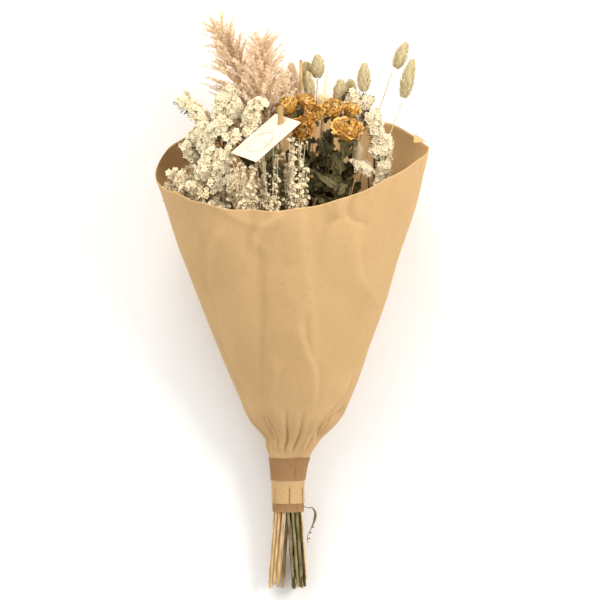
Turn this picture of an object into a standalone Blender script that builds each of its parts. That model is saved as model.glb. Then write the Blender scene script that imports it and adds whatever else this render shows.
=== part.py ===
"""A dried flower bouquet in a kraft paper cone, lying on its back.

+Y runs from the cut stems to the flowers, +X to the right as the front is seen from above, and +Z up.
The bouquet is laid out in a working frame and moved at the end, so that its box stands on the origin.
"""

import math
from itertools import combinations

import bmesh
import bpy
import numpy as np
from mathutils import Vector

# Driving dimensions, in metres.
GAP = 0.0003  # between pieces that touch
TIE_Y = -0.167  # where the outer tape holds the bundle
TIE_CENTRE = (-0.0042, 0.0365)  # x and z of the bundle's middle at the tie
RISE = 0.187  # how much the bouquet's middle line climbs for each metre along Y
STEM_RADIUS = 0.0019
STEM_PITCH = 0.00435  # from one ring of stems to the next inside the binding
STEM_RINGS = 3
BINDING = (-0.2135, -0.1885)  # along Y, the tape round the stems alone
OUTER_TAPE = (-0.1805, -0.1575)  # along Y, the tape round the paper
FAN_FROM = -0.160  # along Y, where the stems start to fan out
FAN_STEP = 0.024  # along Y, between two places where a stem may bend
FAN_MARGIN = 0.0006  # kept free between stems while they are laid out
STUB = 0.008  # the straight end of a stem under its flower
PAPER = 0.0005
TAPE = 0.0004
COLLAR_Y = -0.2045  # the paper's lower edge

# The paper's outer shape: y, x of the middle, half width, height above and depth below the middle line.
WRAP_SECTIONS = (
    (-0.2045, -0.0042, 0.0168, 0.0168, 0.0168),
    (-0.1805, -0.0042, 0.0172, 0.0171, 0.0171),
    (-0.1575, -0.0028, 0.0205, 0.0190, 0.0185),
    (-0.147, -0.0015, 0.0240, 0.0215, 0.0205),
    (-0.137, 0.0015, 0.0285, 0.0250, 0.0235),
    (-0.131, 0.0025, 0.0340, 0.0285, 0.0265),
    (-0.121, 0.0030, 0.0435, 0.0345, 0.0320),
    (-0.094, 0.0042, 0.0570, 0.0440, 0.0400),
    (-0.040, 0.0027, 0.0777, 0.0600, 0.0540),
    (0.013, 0.0000, 0.0977, 0.0740, 0.0690),
    (0.049, -0.0018, 0.1100, 0.0820, 0.0790),
    (0.110, -0.0020, 0.1280, 0.0880, 0.0940),
    (0.127, -0.0030, 0.1324, 0.0885, 0.0970),
    (0.155, 0.0030, 0.1325, 0.0890, 0.1020),
    (0.200, 0.0040, 0.1250, 0.0900, 0.1080),
)
# The paper's mouth: the angle round it (0 at +X, 90 on top) and the edge's y there.
RIM = ((0, 0.155), (35, 0.129), (65, 0.101), (90, 0.0918), (115, 0.090), (145, 0.106), (180, 0.127),
       (198, 0.158), (215, 0.170), (270, 0.199), (325, 0.178), (343, 0.164), (360, 0.155))
STRAIGHT_TO = 0.060  # below this y the paper's rings are square to Y, above it they lean towards the mouth's edge
AROUND = 48

# Finishes: base colour, roughness.
FINISHES = {
    "kraft_paper": ((0.64, 0.42, 0.20), 0.85),
    "paper_tape": ((0.42, 0.23, 0.09), 0.75),
    "card": ((0.93, 0.78, 0.58), 0.8),
    "bare_wood": ((0.53, 0.36, 0.18), 0.7),
    "plume": ((0.57, 0.37, 0.19), 0.95),
    "straw": ((0.72, 0.50, 0.26), 0.85),
    "sage_grain": ((0.60, 0.50, 0.26), 0.9),
    "rose_petal": ((0.50, 0.22, 0.03), 0.8),
    "rose_green": ((0.10, 0.085, 0.035), 0.85),
    "statice_stem": ((0.10, 0.075, 0.03), 0.85),
    "statice_bloom": ((0.84, 0.68, 0.43), 0.9),
    "broom_bloom": ((0.66, 0.55, 0.36), 0.9),
}

# Grasses with their ear or plume on one stem: finish, the ear's half thickness, the ear's line from base to tip.
GRASSES = {
    "canary_grass_1": ("sage_grain", 0.0062, ((0.0255, 0.226, 0.070), (0.0262, 0.250, 0.072))),
    "canary_grass_2": ("sage_grain", 0.0050, ((0.0130, 0.221, 0.058), (0.0148, 0.244, 0.060))),
    "canary_grass_3": ("sage_grain", 0.0050, ((0.0195, 0.200, 0.077), (0.0150, 0.232, 0.081))),
    "canary_grass_4": ("sage_grain", 0.0058, ((0.0465, 0.199, 0.078), (0.0495, 0.224, 0.081))),
    "canary_grass_5": ("sage_grain", 0.0048, ((0.0575, 0.206, 0.058), (0.0600, 0.226, 0.060))),
    "canary_grass_6": ("sage_grain", 0.0063, ((0.0715, 0.212, 0.084), (0.0730, 0.240, 0.087))),
    "canary_grass_7": ("sage_grain", 0.0060, ((0.1035, 0.237, 0.068), (0.1165, 0.262, 0.071))),
    "canary_grass_8": ("sage_grain", 0.0068, ((0.1110, 0.206, 0.088), (0.1210, 0.243, 0.094))),
    "canary_grass_9": ("sage_grain", 0.0043, ((0.0650, 0.138, 0.090), (0.0665, 0.160, 0.094))),
    "pampas_grass_1": ("plume", 0.0160, ((-0.028, 0.150, 0.066), (-0.042, 0.200, 0.070),
                                         (-0.058, 0.245, 0.078), (-0.080, 0.285, 0.088))),
    "pampas_grass_2": ("plume", 0.0130, ((-0.023, 0.160, 0.094), (-0.027, 0.200, 0.097),
                                         (-0.029, 0.235, 0.100), (-0.030, 0.268, 0.102))),
    "reed_plume": ("plume", 0.0038, ((-0.0120, 0.196, 0.084), (-0.0075, 0.230, 0.088))),
    "foxtail_grass": ("straw", 0.0066, ((0.0035, 0.192, 0.070), (-0.0008, 0.241, 0.076))),
    "reed_stalk": ("straw", 0.0016, ((0.0090, 0.205, 0.084), (0.0090, 0.243, 0.088))),
    "straw_tuft": ("straw", 0.0072, ((0.0305, 0.192, 0.091), (0.0320, 0.208, 0.094))),
}
# Broom bloom: a fine cloud of buds on one stem, as the cloud's line from its lower end to its tip and half thickness.
BROOM_BLOOMS = {
    "broom_bloom_1": (0.0115, ((-0.080, 0.062, 0.084), (-0.114, 0.131, 0.092))),
    "broom_bloom_2": (0.0110, ((-0.066, 0.062, 0.108), (-0.098, 0.133, 0.119))),
    "broom_bloom_3": (0.0105, ((-0.041, 0.062, 0.125), (-0.049, 0.124, 0.147))),
    "broom_bloom_4": (0.0100, ((-0.020, 0.062, 0.124), (-0.024, 0.140, 0.139))),
    "broom_bloom_5": (0.0095, ((0.003, 0.062, 0.124), (0.005, 0.144, 0.141))),
}
# Roses: the head's middle, the way it faces and its radius.
ROSES = {
    "1": ((-0.0040, 0.194, 0.111), (-0.45, 0.75, 0.45), 0.0112),
    "2": ((0.0125, 0.1990, 0.097), (0.10, 0.90, 0.35), 0.0098),
    "3": ((0.0215, 0.186, 0.120), (0.15, 0.60, 0.75), 0.0102),
    "4": ((0.0400, 0.191, 0.108), (0.00, 0.75, 0.65), 0.0114),
    "5": ((0.0580, 0.191, 0.096), (0.25, 0.85, 0.40), 0.0095),
    "6": ((0.0105, 0.170, 0.131), (0.20, 0.35, 0.90), 0.0115),
    "7": ((0.0545, 0.169, 0.124), (0.10, 0.80, 0.55), 0.0138),
}
ROSE_LENGTH = 1.45  # a head's length along its axis, in radii
# Statice: where the stem ends, then the line of its ridge of blossom, and the ridge's half thickness.
STATICES = {
    "1": (0.0075, (-0.083, 0.164, 0.092), ((-0.090, 0.180, 0.095), (-0.099, 0.193, 0.097), (-0.113, 0.202, 0.098))),
    "2": (0.0075, (-0.072, 0.168, 0.098), ((-0.071, 0.188, 0.100), (-0.065, 0.203, 0.100), (-0.053, 0.213, 0.100))),
    "3": (0.0070, (-0.080, 0.148, 0.110), ((-0.084, 0.158, 0.116), (-0.073, 0.170, 0.121), (-0.061, 0.180, 0.122))),
    "4": (0.0085, (-0.069, 0.114, 0.126), ((-0.070, 0.128, 0.129), (-0.068, 0.141, 0.131), (-0.064, 0.151, 0.130))),
    "5": (0.0078, (-0.042, 0.162, 0.116), ((-0.041, 0.175, 0.120), (-0.039, 0.188, 0.122))),
    "6": (0.0066, (0.083, 0.104, 0.078), ((0.088, 0.122, 0.082), (0.0895, 0.142, 0.085), (0.0860, 0.160, 0.087),
                                          (0.0805, 0.178, 0.089), (0.0765, 0.196, 0.090))),
    "7": (0.0066, (0.064, 0.176, 0.079), ((0.0645, 0.190, 0.080), (0.0630, 0.205, 0.080))),
}
# Rose leaves: the rose that carries it, y on its stem, the way it points, its length and half width.
LEAVES = {
    "rose_leaf_1": ("6", 0.112, (0.75, 0.45, 0.45), 0.026, 0.0085),
    "rose_leaf_2": ("4", 0.118, (-0.35, 0.75, 0.50), 0.024, 0.0080),
    "rose_leaf_3": ("7", 0.118, (-0.60, 0.30, 0.65), 0.028, 0.0090),
    "rose_leaf_4": ("7", 0.092, (-0.25, 0.25, 0.90), 0.026, 0.0080),
    "rose_leaf_5": ("3", 0.082, (0.30, 0.35, 0.90), 0.028, 0.0085),
    "rose_leaf_6": ("5", 0.110, (0.70, 0.50, 0.50), 0.028, 0.0085),
}
LEAF_THICKNESS = 0.0006

# The card and the wooden stick that is pushed through its punched hole.
CARD_CORNER = Vector((-0.0160, 0.1862, 0.1210))
CARD_LONG_SIDE = Vector((-0.0432, -0.0400, 0.0245))
CARD_SHORT_SIDE = Vector((0.0250, -0.0105, 0.0270))
CARD_THICKNESS = 0.0005
HOLE_ALONG = 0.135  # of the long side, from the corner
HOLE_ACROSS = 0.435  # of the short side, from the corner
STICK_RADIUS = 0.00275
STICK_TIP = Vector((-0.0110, 0.1905, 0.1405))
STICK_POINT_FROM, STICK_POINT_TO = -0.095, -0.172  # along Y, the length over which the stick thins to its point
STICK_POINT_RADIUS = 0.0009

CUT_ENDS_Y = (-0.2790, -0.2945)  # the shortest and the longest cut end
CUT_SPREAD = (1.0, 0.96)  # how the bundle widens and flattens where it is cut
CUT_SPLIT = 0.0062  # how far its left and right halves part there


def middle(y):
    """x and z of the bouquet's middle line at y."""
    return np.array([TIE_CENTRE[0], TIE_CENTRE[1] + RISE * (y - TIE_Y)])


def through(xs, values, at):
    """A smooth curve through the given values, read at the given places."""
    xs, values, at = (np.asarray(v, float) for v in (xs, values, at))
    slopes = np.gradient(values, xs, axis=0)
    cell = np.clip(np.searchsorted(xs, at, side="right") - 1, 0, len(xs) - 2)
    width = xs[cell + 1] - xs[cell]
    t = np.clip((at - xs[cell]) / width, 0, 1)
    shape = (-1,) + (1,) * (values.ndim - 1)
    t, width = t.reshape(shape), width.reshape(shape)
    return (
        (2 * t**3 - 3 * t**2 + 1) * values[cell]
        + (t**3 - 2 * t**2 + t) * width * slopes[cell]
        + (3 * t**2 - 2 * t**3) * values[cell + 1]
        + (t**3 - t**2) * width * slopes[cell + 1]
    )


def smooth_line(points, count):
    """Evenly parted points on a smooth curve through the given ones."""
    points = np.asarray(points, float)
    lengths = np.r_[0, np.cumsum(np.linalg.norm(np.diff(points, axis=0), axis=1))]
    return through(lengths, points, np.linspace(0, lengths[-1], count))


def finish(name):
    material = bpy.data.materials.get(name) or bpy.data.materials.new(name)
    colour, roughness = FINISHES[name]
    material.use_nodes = True
    shader = material.node_tree.nodes["Principled BSDF"]
    shader.inputs["Base Color"].default_value = (*colour, 1)
    shader.inputs["Roughness"].default_value = roughness
    shader.inputs["Metallic"].default_value = 0
    return material


def add_object(name, mesh_data, finish_name, sharp_degrees=50):
    """Makes a named object from (points, faces), closed and facing out."""
    mesh = bpy.data.meshes.new(name)
    mesh.from_pydata(*mesh_data)
    shaped = bmesh.new()
    shaped.from_mesh(mesh)
    bmesh.ops.recalc_face_normals(shaped, faces=shaped.faces)
    shaped.to_mesh(mesh)
    shaped.free()
    mesh.shade_smooth()
    mesh.set_sharp_from_angle(angle=math.radians(sharp_degrees))
    mesh.materials.append(finish(finish_name))
    piece = bpy.data.objects.new(name, mesh)
    bpy.context.scene.collection.objects.link(piece)
    return piece


def lofted(rings, closed_loop=False):
    """Points and faces of rings joined in turn. Capped at both ends, or joined last to first."""
    count, around = len(rings), len(rings[0])
    faces = []
    for i in range(count if closed_loop else count - 1):
        low, high = i * around, (i + 1) % count * around
        for j in range(around):
            k = (j + 1) % around
            faces.append((low + j, low + k, high + k, high + j))
    if not closed_loop:
        faces.append(tuple(reversed(range(around))))
        faces.append(tuple(range((count - 1) * around, count * around)))
    return [tuple(map(float, p)) for ring in rings for p in ring], [], faces


def tube_rings(line, radii, sides):
    """Rings square to a line, turned as little as possible from one to the next."""
    line = np.asarray(line, float)
    along = np.gradient(line, axis=0)
    along /= np.linalg.norm(along, axis=1)[:, None]
    side = np.cross(along[0], (0, 0, 1))
    rings = []
    turns = np.arange(sides) * 2 * math.pi / sides
    for point, direction, radius in zip(line, along, radii):
        side -= direction * (side @ direction)
        side /= np.linalg.norm(side)
        up = np.cross(side, direction)
        rings.append(point + radius * (np.outer(np.cos(turns), side) + np.outer(np.sin(turns), up)))
    return rings


def ear_radii(line, radius, blunt=0.55):
    """Radii of an ear along its line: pointed at both ends, fullest a little above its base."""
    t = np.linspace(0, 1, len(line))
    return radius * np.sin(math.pi * np.clip(t, 0.04, 0.97) ** 0.8) ** blunt


# The paper wrap.


def wrap_section(y, angle):
    """The paper's outer surface at y and at an angle round it, both arrays of one shape."""
    places, *sizes = zip(*WRAP_SECTIONS)
    x_middle, half_width, above, below = (through(places, s, y.ravel()).reshape(y.shape) for s in sizes)
    height = TIE_CENTRE[1] + RISE * (y - TIE_Y)
    x = x_middle + half_width * np.cos(angle)
    z = height + np.where(np.sin(angle) > 0, above, below) * np.sin(angle)
    return np.stack([x, y, np.maximum(z, 0)], axis=-1)


def shell_rings(surface, thickness):
    """The rings of a closed sheet of that thickness, whose outer side is the given grid, and which is open inside."""
    along_y = np.gradient(surface, axis=0)
    round_it = np.roll(surface, -1, axis=1) - np.roll(surface, 1, axis=1)
    normal = np.cross(along_y, round_it)
    normal /= np.linalg.norm(normal, axis=2)[:, :, None]
    inner = surface - normal * thickness
    return [*surface, *inner[::-1]]


def wrap_surface():
    angle = np.arange(AROUND) * 2 * math.pi / AROUND
    straight = [COLLAR_Y, -0.192, OUTER_TAPE[0], TIE_Y, OUTER_TAPE[1],
                -0.147, -0.137, -0.131, -0.121, -0.094, -0.055, -0.010, 0.030]
    rows = [np.full(AROUND, y) for y in straight]
    edge = through(*zip(*((math.radians(a), y) for a, y in RIM)), angle)
    for share in np.linspace(0, 1, 5):
        rows.append(STRAIGHT_TO + (edge - STRAIGHT_TO) * share)
    y = np.array(rows)
    return wrap_section(y, np.broadcast_to(angle, y.shape))


def paper_wrap():
    add_object("kraft_paper_wrap", lofted(shell_rings(wrap_surface(), PAPER), True), "kraft_paper")


def tapes():
    """The tape round the paper follows it, and the one under the paper's edge binds the stems."""
    angle = np.arange(AROUND) * 2 * math.pi / AROUND
    y = np.repeat(np.array([OUTER_TAPE[0], TIE_Y, OUTER_TAPE[1]])[:, None], AROUND, axis=1)
    paper = wrap_section(y, np.broadcast_to(angle, y.shape))
    centre = np.stack([paper[..., 0].mean(1), paper[..., 1].mean(1), paper[..., 2].mean(1)], -1)[:, None]
    outward = (paper - centre) / np.linalg.norm(paper - centre, axis=2)[:, :, None]
    add_object("outer_tape", lofted(shell_rings(paper + outward * (GAP + TAPE), TAPE), True), "paper_tape")
    reach = STEM_RINGS * STEM_PITCH + STEM_RADIUS + GAP + TAPE
    rings = [
        np.stack([middle(y)[0] + reach * np.cos(angle), np.full(AROUND, y), middle(y)[1] + reach * np.sin(angle)], -1)
        for y in np.linspace(*BINDING, 3)
    ]
    add_object("stem_binding", lofted(shell_rings(np.array(rings), TAPE), True), "paper_tape")


# Stems.


def stem_slots():
    """Places in the binding, as x and z from the bundle's middle: one stem, then rings of 6, 12 and 18."""
    slots = [(0.0, 0.0)]
    for ring in range(1, STEM_RINGS + 1):
        for i in range(6 * ring):
            turn = 2 * math.pi * (i + 0.5 * (ring % 2)) / (6 * ring)
            slots.append((ring * STEM_PITCH * math.cos(turn), ring * STEM_PITCH * math.sin(turn)))
    return np.array(slots)


def shared_out(aims):
    """A slot for each aim, so that no two stems cross on their way: any pair that would cross is swapped."""
    slots = stem_slots()
    places = [np.array(a, float) for a in aims.values()] + [np.zeros(2)] * (len(slots) - len(aims))
    order = list(range(len(slots)))
    swapped = True
    while swapped:
        swapped = False
        for i, j in combinations(range(len(slots)), 2):
            if (slots[order[i]] - slots[order[j]]) @ (places[i] - places[j]) < -1e-12:
                order[i], order[j] = order[j], order[i]
                swapped = True
    return {name: slots[order[i]] for i, name in enumerate(aims)}


def aim_of(target):
    """Where a straight line from the tie to the target passes 0.3 m above the tie, from the middle line."""
    target = np.array(target, float)
    return (target[[0, 2]] - middle(target[1])) * 0.3 / (target[1] - TIE_Y)


def cut_end(slot, number):
    """The cut end of the stem in this slot. The bundle parts and sinks to the surface, where its lowest stems rest."""
    sunk = max(number * 0.618 % 1, -slot[1] / (STEM_RINGS * STEM_PITCH))
    y = CUT_ENDS_Y[0] + (CUT_ENDS_Y[1] - CUT_ENDS_Y[0]) * min(1, sunk)
    bound = middle(BINDING[0]) + slot
    longest = np.array([
        TIE_CENTRE[0] + slot[0] * CUT_SPREAD[0] + math.copysign(CUT_SPLIT, slot[0]),
        STEM_RADIUS + (STEM_RINGS * STEM_PITCH + slot[1]) * CUT_SPREAD[1],
    ])
    share = (y - BINDING[0]) / (CUT_ENDS_Y[1] - BINDING[0])
    x, z = bound + (longest - bound) * share
    return np.array([x, y, z])


def straight_stem(slot, target, lean):
    """From the fan's start to the target, with a bend allowed at every step and a straight stub at the end."""
    start = np.insert(middle(FAN_FROM) + slot, 1, FAN_FROM)
    target = np.array(target, float)
    lean = np.array(lean, float) / np.linalg.norm(lean)
    stub = target - lean * STUB
    steps = max(3, round((stub[1] - FAN_FROM) / FAN_STEP))
    shares = np.linspace(0, 1, steps + 1)
    line = start + (stub - start) * shares[:, None]
    # It leaves the tie along the bundle and arrives along its stub.
    reach = np.linalg.norm(stub - start)
    down_the_bundle = np.array([slot[0] * 2, 1, RISE + slot[1] * 2])
    down_the_bundle /= np.linalg.norm(down_the_bundle)
    t = shares[:, None]
    bent = ((1 - t) ** 3 * start + 3 * (1 - t) ** 2 * t * (start + down_the_bundle * reach * 0.2)
            + 3 * (1 - t) * t**2 * (stub - lean * reach * 0.2) + t**3 * stub)
    line = line * 0.4 + bent * 0.6
    return np.vstack([line, target])


def beads(line, radii, spacing=0.003):
    """A line as spheres strung close together: rows of x, y, z and radius."""
    line, radii = np.asarray(line, float), np.asarray(radii, float)
    lengths = np.r_[0, np.cumsum(np.linalg.norm(np.diff(line, axis=0), axis=1))]
    at = np.linspace(0, lengths[-1], max(2, round(lengths[-1] / spacing) + 1))
    return np.column_stack([*(np.interp(at, lengths, column) for column in line.T), np.interp(at, lengths, radii)])


def part_stems(lines, flowers):
    """Bends the stems sideways, where they would run through one another or through a flower.

    lines holds each stem's points, whose first and last two stay, and flowers each flower's beads.
    """
    names = list(lines)
    owners = np.concatenate([np.full(len(b), names.index(n) if n in names else -1) for n, b in flowers.items()])
    spheres = np.concatenate(list(flowers.values()))
    for sweep in range(260):
        moved = 0.0
        for y in np.arange(FAN_FROM + 0.004, 0.24, 0.004):
            live = [i for i, n in enumerate(names) if lines[n][0, 1] < y < lines[n][-2, 1]]
            if not live:
                continue
            cells = [int(np.searchsorted(lines[names[i]][:, 1], y)) - 1 for i in live]
            shares, places, reaches = [], [], []
            for i, k in zip(live, cells):
                low, high = lines[names[i]][k], lines[names[i]][k + 1]
                share = (y - low[1]) / (high[1] - low[1])
                shares.append(share)
                places.append((low + (high - low) * share)[[0, 2]])
                reaches.append(stem_radius(y) * np.linalg.norm(high - low) / (high[1] - low[1]) + FAN_MARGIN / 2)
            places, reaches = np.array(places), np.array(reaches)
            cut = spheres[:, 3] ** 2 - (spheres[:, 1] - y) ** 2
            hit = cut > 0
            discs = spheres[hit][:, [0, 2]]
            disc_reach = np.sqrt(cut[hit]) + FAN_MARGIN / 2
            disc_owner = owners[hit]
            others = np.vstack([places, discs])
            other_reach = np.concatenate([reaches, disc_reach])
            other_owner = np.concatenate([live, disc_owner])
            apart = places[:, None] - others[None]
            distance = np.linalg.norm(apart, axis=2) + 1e-9
            depth = reaches[:, None] + other_reach[None] - distance
            depth[np.array(live)[:, None] == other_owner[None]] = 0
            depth = np.clip(depth, 0, None)
            depth[:, : len(live)] *= 0.5
            push = (apart / distance[:, :, None] * depth[:, :, None]).sum(1)
            for i, k, share, shift in zip(live, cells, shares, push):
                line = lines[names[i]]
                if not shift.any():
                    continue
                moved = max(moved, float(np.abs(shift).max()))
                scale = 0.7 / ((1 - share) ** 2 + share**2)
                if k > 0:
                    line[k, [0, 2]] += shift * (1 - share) * scale
                if k + 1 < len(line) - 2:
                    line[k + 1, [0, 2]] += shift * share * scale
        if sweep < 200:
            for line in lines.values():
                line[1:-2, [0, 2]] += 0.08 * (line[:-3] + line[2:-1] - 2 * line[1:-2])[:, [0, 2]]
        if moved < 2e-5:
            break


def stem_radius(y):
    """A stem is thickest where it is cut and thins towards its flower."""
    return float(np.interp(y, (OUTER_TAPE[1], 0.0, 0.15), (STEM_RADIUS, 0.0015, 0.0012)))


def whole_stem(slot, number, fan):
    """The fanned out line with the bound and the cut length before it."""
    low = [np.insert(middle(y) + slot, 1, y) for y in BINDING]
    return np.vstack([cut_end(slot, number), low, fan])


def stem_radii(line):
    return np.array([stem_radius(y) for y in line[:, 1]])


# Flowers: each as its line and the radii along it.


def ear(name):
    _, radius, points = GRASSES[name]
    line = smooth_line(points, 5 + 2 * len(points))
    radii = np.full(len(line), radius) if name == "reed_stalk" else ear_radii(line, radius)
    return line, radii


def cloud(name):
    radius, points = BROOM_BLOOMS[name]
    foot = np.array(points[0]) - (np.array(points[1]) - points[0]) * 0.2
    line = np.vstack([foot, smooth_line(points, 7)])
    return line, np.r_[0.0014, np.interp(np.linspace(0, 1, 7), (0, 0.5, 0.85, 1), (0.55, 1, 0.9, 0.45)) * radius]


def rose_head(number):
    centre, facing, radius = ROSES[number]
    centre, facing = np.array(centre), np.array(facing) / np.linalg.norm(facing)
    base = centre - facing * radius * ROSE_LENGTH / 2
    line = base + np.outer(np.linspace(0, radius * ROSE_LENGTH, 7), facing)
    return line, np.array((0.30, 0.78, 0.97, 1.0, 0.93, 0.78, 0.45)) * radius


def ridge(number):
    radius, end, points = STATICES[number]
    lean = (np.array(points[0]) - end) / np.linalg.norm(np.array(points[0]) - end)
    line = smooth_line([end + lean * GAP, *points], 4 + 2 * len(points))
    return line, radius * np.interp(np.linspace(0, 1, len(line)), (0, 0.25, 0.85, 1), (0.35, 1, 1, 0.55))


def head_of(name):
    kind, _, number = name.partition("_")
    if name in GRASSES:
        return ear(name)
    if name in BROOM_BLOOMS:
        return cloud(name)
    return rose_head(number) if kind == "rose" else ridge(number)


def plant(name, line):
    """A grass or a cloud is one piece with its stem. A rose or statice flower sits a sliver off its stem's end."""
    head, widths = head_of(name)
    if name in GRASSES or name in BROOM_BLOOMS:
        radii = np.r_[stem_radii(line[:-1]), widths]
        if name in GRASSES:
            radii[len(line) - 1] = max(radii[len(line) - 2] * 0.8, widths[0])
        kind = GRASSES[name][0] if name in GRASSES else "broom_bloom"
        add_object(name, lofted(tube_rings(np.vstack([line[:-1], head]), radii, 8)), kind)
        return
    kind, _, number = name.partition("_")
    stem_kind, head_kind, sides = {"rose": ("rose_green", "rose_petal", 12),
                                   "statice": ("statice_stem", "statice_bloom", 8)}[kind]
    add_object(f"{kind}_stem_{number}", lofted(tube_rings(line, stem_radii(line), 6)), stem_kind)
    add_object(f"{kind}_head_{number}", lofted(tube_rings(head, widths, sides)), head_kind)


def leaf(name, stem):
    """A thin cupped leaf whose foot touches its rose's stem."""
    _, y, direction, length, half_width = LEAVES[name]
    on_stem = np.array([np.interp(y, stem[:, 1], column) for column in stem.T])
    cell = int(np.searchsorted(stem[:, 1], y))
    grain = (stem[cell] - stem[cell - 1]) / np.linalg.norm(stem[cell] - stem[cell - 1])
    along = np.array(direction) / np.linalg.norm(direction)
    off_stem = along - grain * (along @ grain)
    foot = on_stem + off_stem / np.linalg.norm(off_stem) * (stem_radius(y) + GAP)
    side = np.cross(along, (0, 0, 1))
    side /= np.linalg.norm(side)
    up = np.cross(side, along)
    shape = ((0, 0.08), (0.12, 0.10), (0.3, 0.8), (0.5, 1.0), (0.75, 0.75), (0.92, 0.32), (1, 0.10))
    rings = []
    for share, width in shape:
        spine = foot + along * length * share + up * length * 0.12 * math.sin(math.pi * share)
        wings = side * half_width * width
        cup = up * half_width * width * 0.35
        half = up * LEAF_THICKNESS / 2
        rings.append([spine - wings + cup + half, spine + half, spine + wings + cup + half,
                      spine + wings + cup - half, spine - half, spine - wings + cup - half])
    add_object(name, lofted(rings), "rose_green")


# The card on its stick.


def stick_line(slot):
    low = np.insert(middle(STICK_POINT_TO) + slot, 1, STICK_POINT_TO)
    at_tie = np.insert(middle(OUTER_TAPE[1]) + slot, 1, OUTER_TAPE[1])
    line = np.array([low, *(at_tie + (np.array(STICK_TIP) - at_tie) * s for s in np.linspace(0, 1, 7))])
    radii = np.interp(line[:, 1], (STICK_POINT_TO, OUTER_TAPE[1], STICK_POINT_FROM),
                      (STICK_POINT_RADIUS, STEM_RADIUS, STICK_RADIUS))
    return line, radii


def stick(line, radii):
    axis = (line[-1] - line[-2]) / np.linalg.norm(line[-1] - line[-2])
    rings = tube_rings([*line, line[-1] + axis * 0.001], [*radii, STICK_RADIUS * 0.6], 12)
    add_object("wooden_stick", lofted(rings), "bare_wood")
    return Vector(axis)


def card(stick_axis):
    """A card with a punched hole near its short edge, which the stick goes through."""
    normal = CARD_LONG_SIDE.cross(CARD_SHORT_SIDE).normalized()
    thick = normal * CARD_THICKNESS / 2
    corners = [CARD_CORNER, CARD_CORNER + CARD_LONG_SIDE, CARD_CORNER + CARD_LONG_SIDE + CARD_SHORT_SIDE,
               CARD_CORNER + CARD_SHORT_SIDE]
    rings = [[c - thick for c in corners], [c + thick for c in corners]]
    piece = add_object("card", lofted(rings), "card")
    centre = CARD_CORNER + CARD_LONG_SIDE * HOLE_ALONG + CARD_SHORT_SIDE * HOLE_ACROSS
    # The stick's own line where it meets the card's plane.
    reach = (centre - STICK_TIP).dot(normal) / stick_axis.dot(normal)
    through_card = STICK_TIP + stick_axis * reach
    line = [through_card - stick_axis * 0.006, through_card, through_card + stick_axis * 0.006]
    punch = add_object("card_punch", lofted(tube_rings(line, [STICK_RADIUS + 0.0005] * 3, 24)), "card")
    punch.hide_render = True
    punch.display_type = "WIRE"
    cut = piece.modifiers.new("punched_hole", "BOOLEAN")
    cut.operation, cut.solver, cut.object = "DIFFERENCE", "EXACT", punch


def bouquet():
    """Shares out the slots, lays the stems, then makes every piece."""
    names = [*GRASSES, *BROOM_BLOOMS, *(f"rose_{n}" for n in ROSES), *(f"statice_{n}" for n in STATICES)]
    heads = {name: head_of(name) for name in names}
    slots = shared_out({name: aim_of(head[0][0]) for name, head in heads.items()} | {"stick": aim_of(STICK_TIP)})
    lines, flowers = {}, {}
    for name, (head, widths) in heads.items():
        target, lean = head[0], head[1] - head[0]
        if name[:4] in ("rose", "stat"):
            target = target - lean / np.linalg.norm(lean) * GAP
        lines[name] = straight_stem(slots[name], target, lean)
        flowers[name] = np.vstack([beads(lines[name][-2:], [0.0012, 0.0012]), beads(head, widths)])
    pole, pole_radii = stick_line(slots["stick"])
    flowers["stick"] = beads(pole, pole_radii)
    part_stems(lines, flowers)
    for number, name in enumerate(names):
        plant(name, whole_stem(slots[name], number, lines[name]))
    for name, (number, *_) in LEAVES.items():
        leaf(name, lines[f"rose_{number}"])
    card(stick(pole, pole_radii))


def stand_on_origin():
    """Hangs every piece on one empty, placed so that the whole box stands centred on the origin."""
    bpy.context.view_layer.update()
    pieces = [o for o in bpy.context.scene.objects if o.type == "MESH"]
    corners = np.array([v.co for o in pieces if not o.hide_render for v in o.data.vertices])
    low, high = corners.min(0), corners.max(0)
    holder = bpy.data.objects.new("bouquet", None)
    holder.location = (-(low[0] + high[0]) / 2, -(low[1] + high[1]) / 2, -low[2])
    bpy.context.scene.collection.objects.link(holder)
    for piece in pieces:
        piece.parent = holder


def main():
    for old in list(bpy.data.objects):
        bpy.data.objects.remove(old)
    paper_wrap()
    tapes()
    bouquet()
    stand_on_origin()


main()
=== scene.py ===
"""The looks of a dried flower bouquet in a kraft paper cone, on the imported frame."""

import math

import bpy
import numpy as np
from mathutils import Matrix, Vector
from mathutils.noise import noise


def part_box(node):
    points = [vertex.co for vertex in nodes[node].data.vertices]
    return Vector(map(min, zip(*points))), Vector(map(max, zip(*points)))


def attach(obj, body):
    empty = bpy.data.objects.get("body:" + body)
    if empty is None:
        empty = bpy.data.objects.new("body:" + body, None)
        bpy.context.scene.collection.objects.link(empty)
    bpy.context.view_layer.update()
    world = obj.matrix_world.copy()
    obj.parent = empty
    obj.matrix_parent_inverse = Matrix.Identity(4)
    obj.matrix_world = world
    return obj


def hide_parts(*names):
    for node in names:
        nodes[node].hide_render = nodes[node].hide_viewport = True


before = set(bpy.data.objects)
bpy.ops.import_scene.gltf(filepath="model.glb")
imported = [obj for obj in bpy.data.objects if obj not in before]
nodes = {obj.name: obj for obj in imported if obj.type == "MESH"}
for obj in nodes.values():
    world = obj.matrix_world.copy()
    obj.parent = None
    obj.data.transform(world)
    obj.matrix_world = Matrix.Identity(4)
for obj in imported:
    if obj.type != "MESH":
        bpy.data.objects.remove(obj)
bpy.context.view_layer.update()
rng = np.random.default_rng(7)

UP = np.array([0.0, 0.0, 1.0])
BUMP_DEPTH = 0.0004
GOLDEN_ANGLE = 2.39996  # the turn from each scale or branch to the next in a spiral


# Node material helpers.


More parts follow.
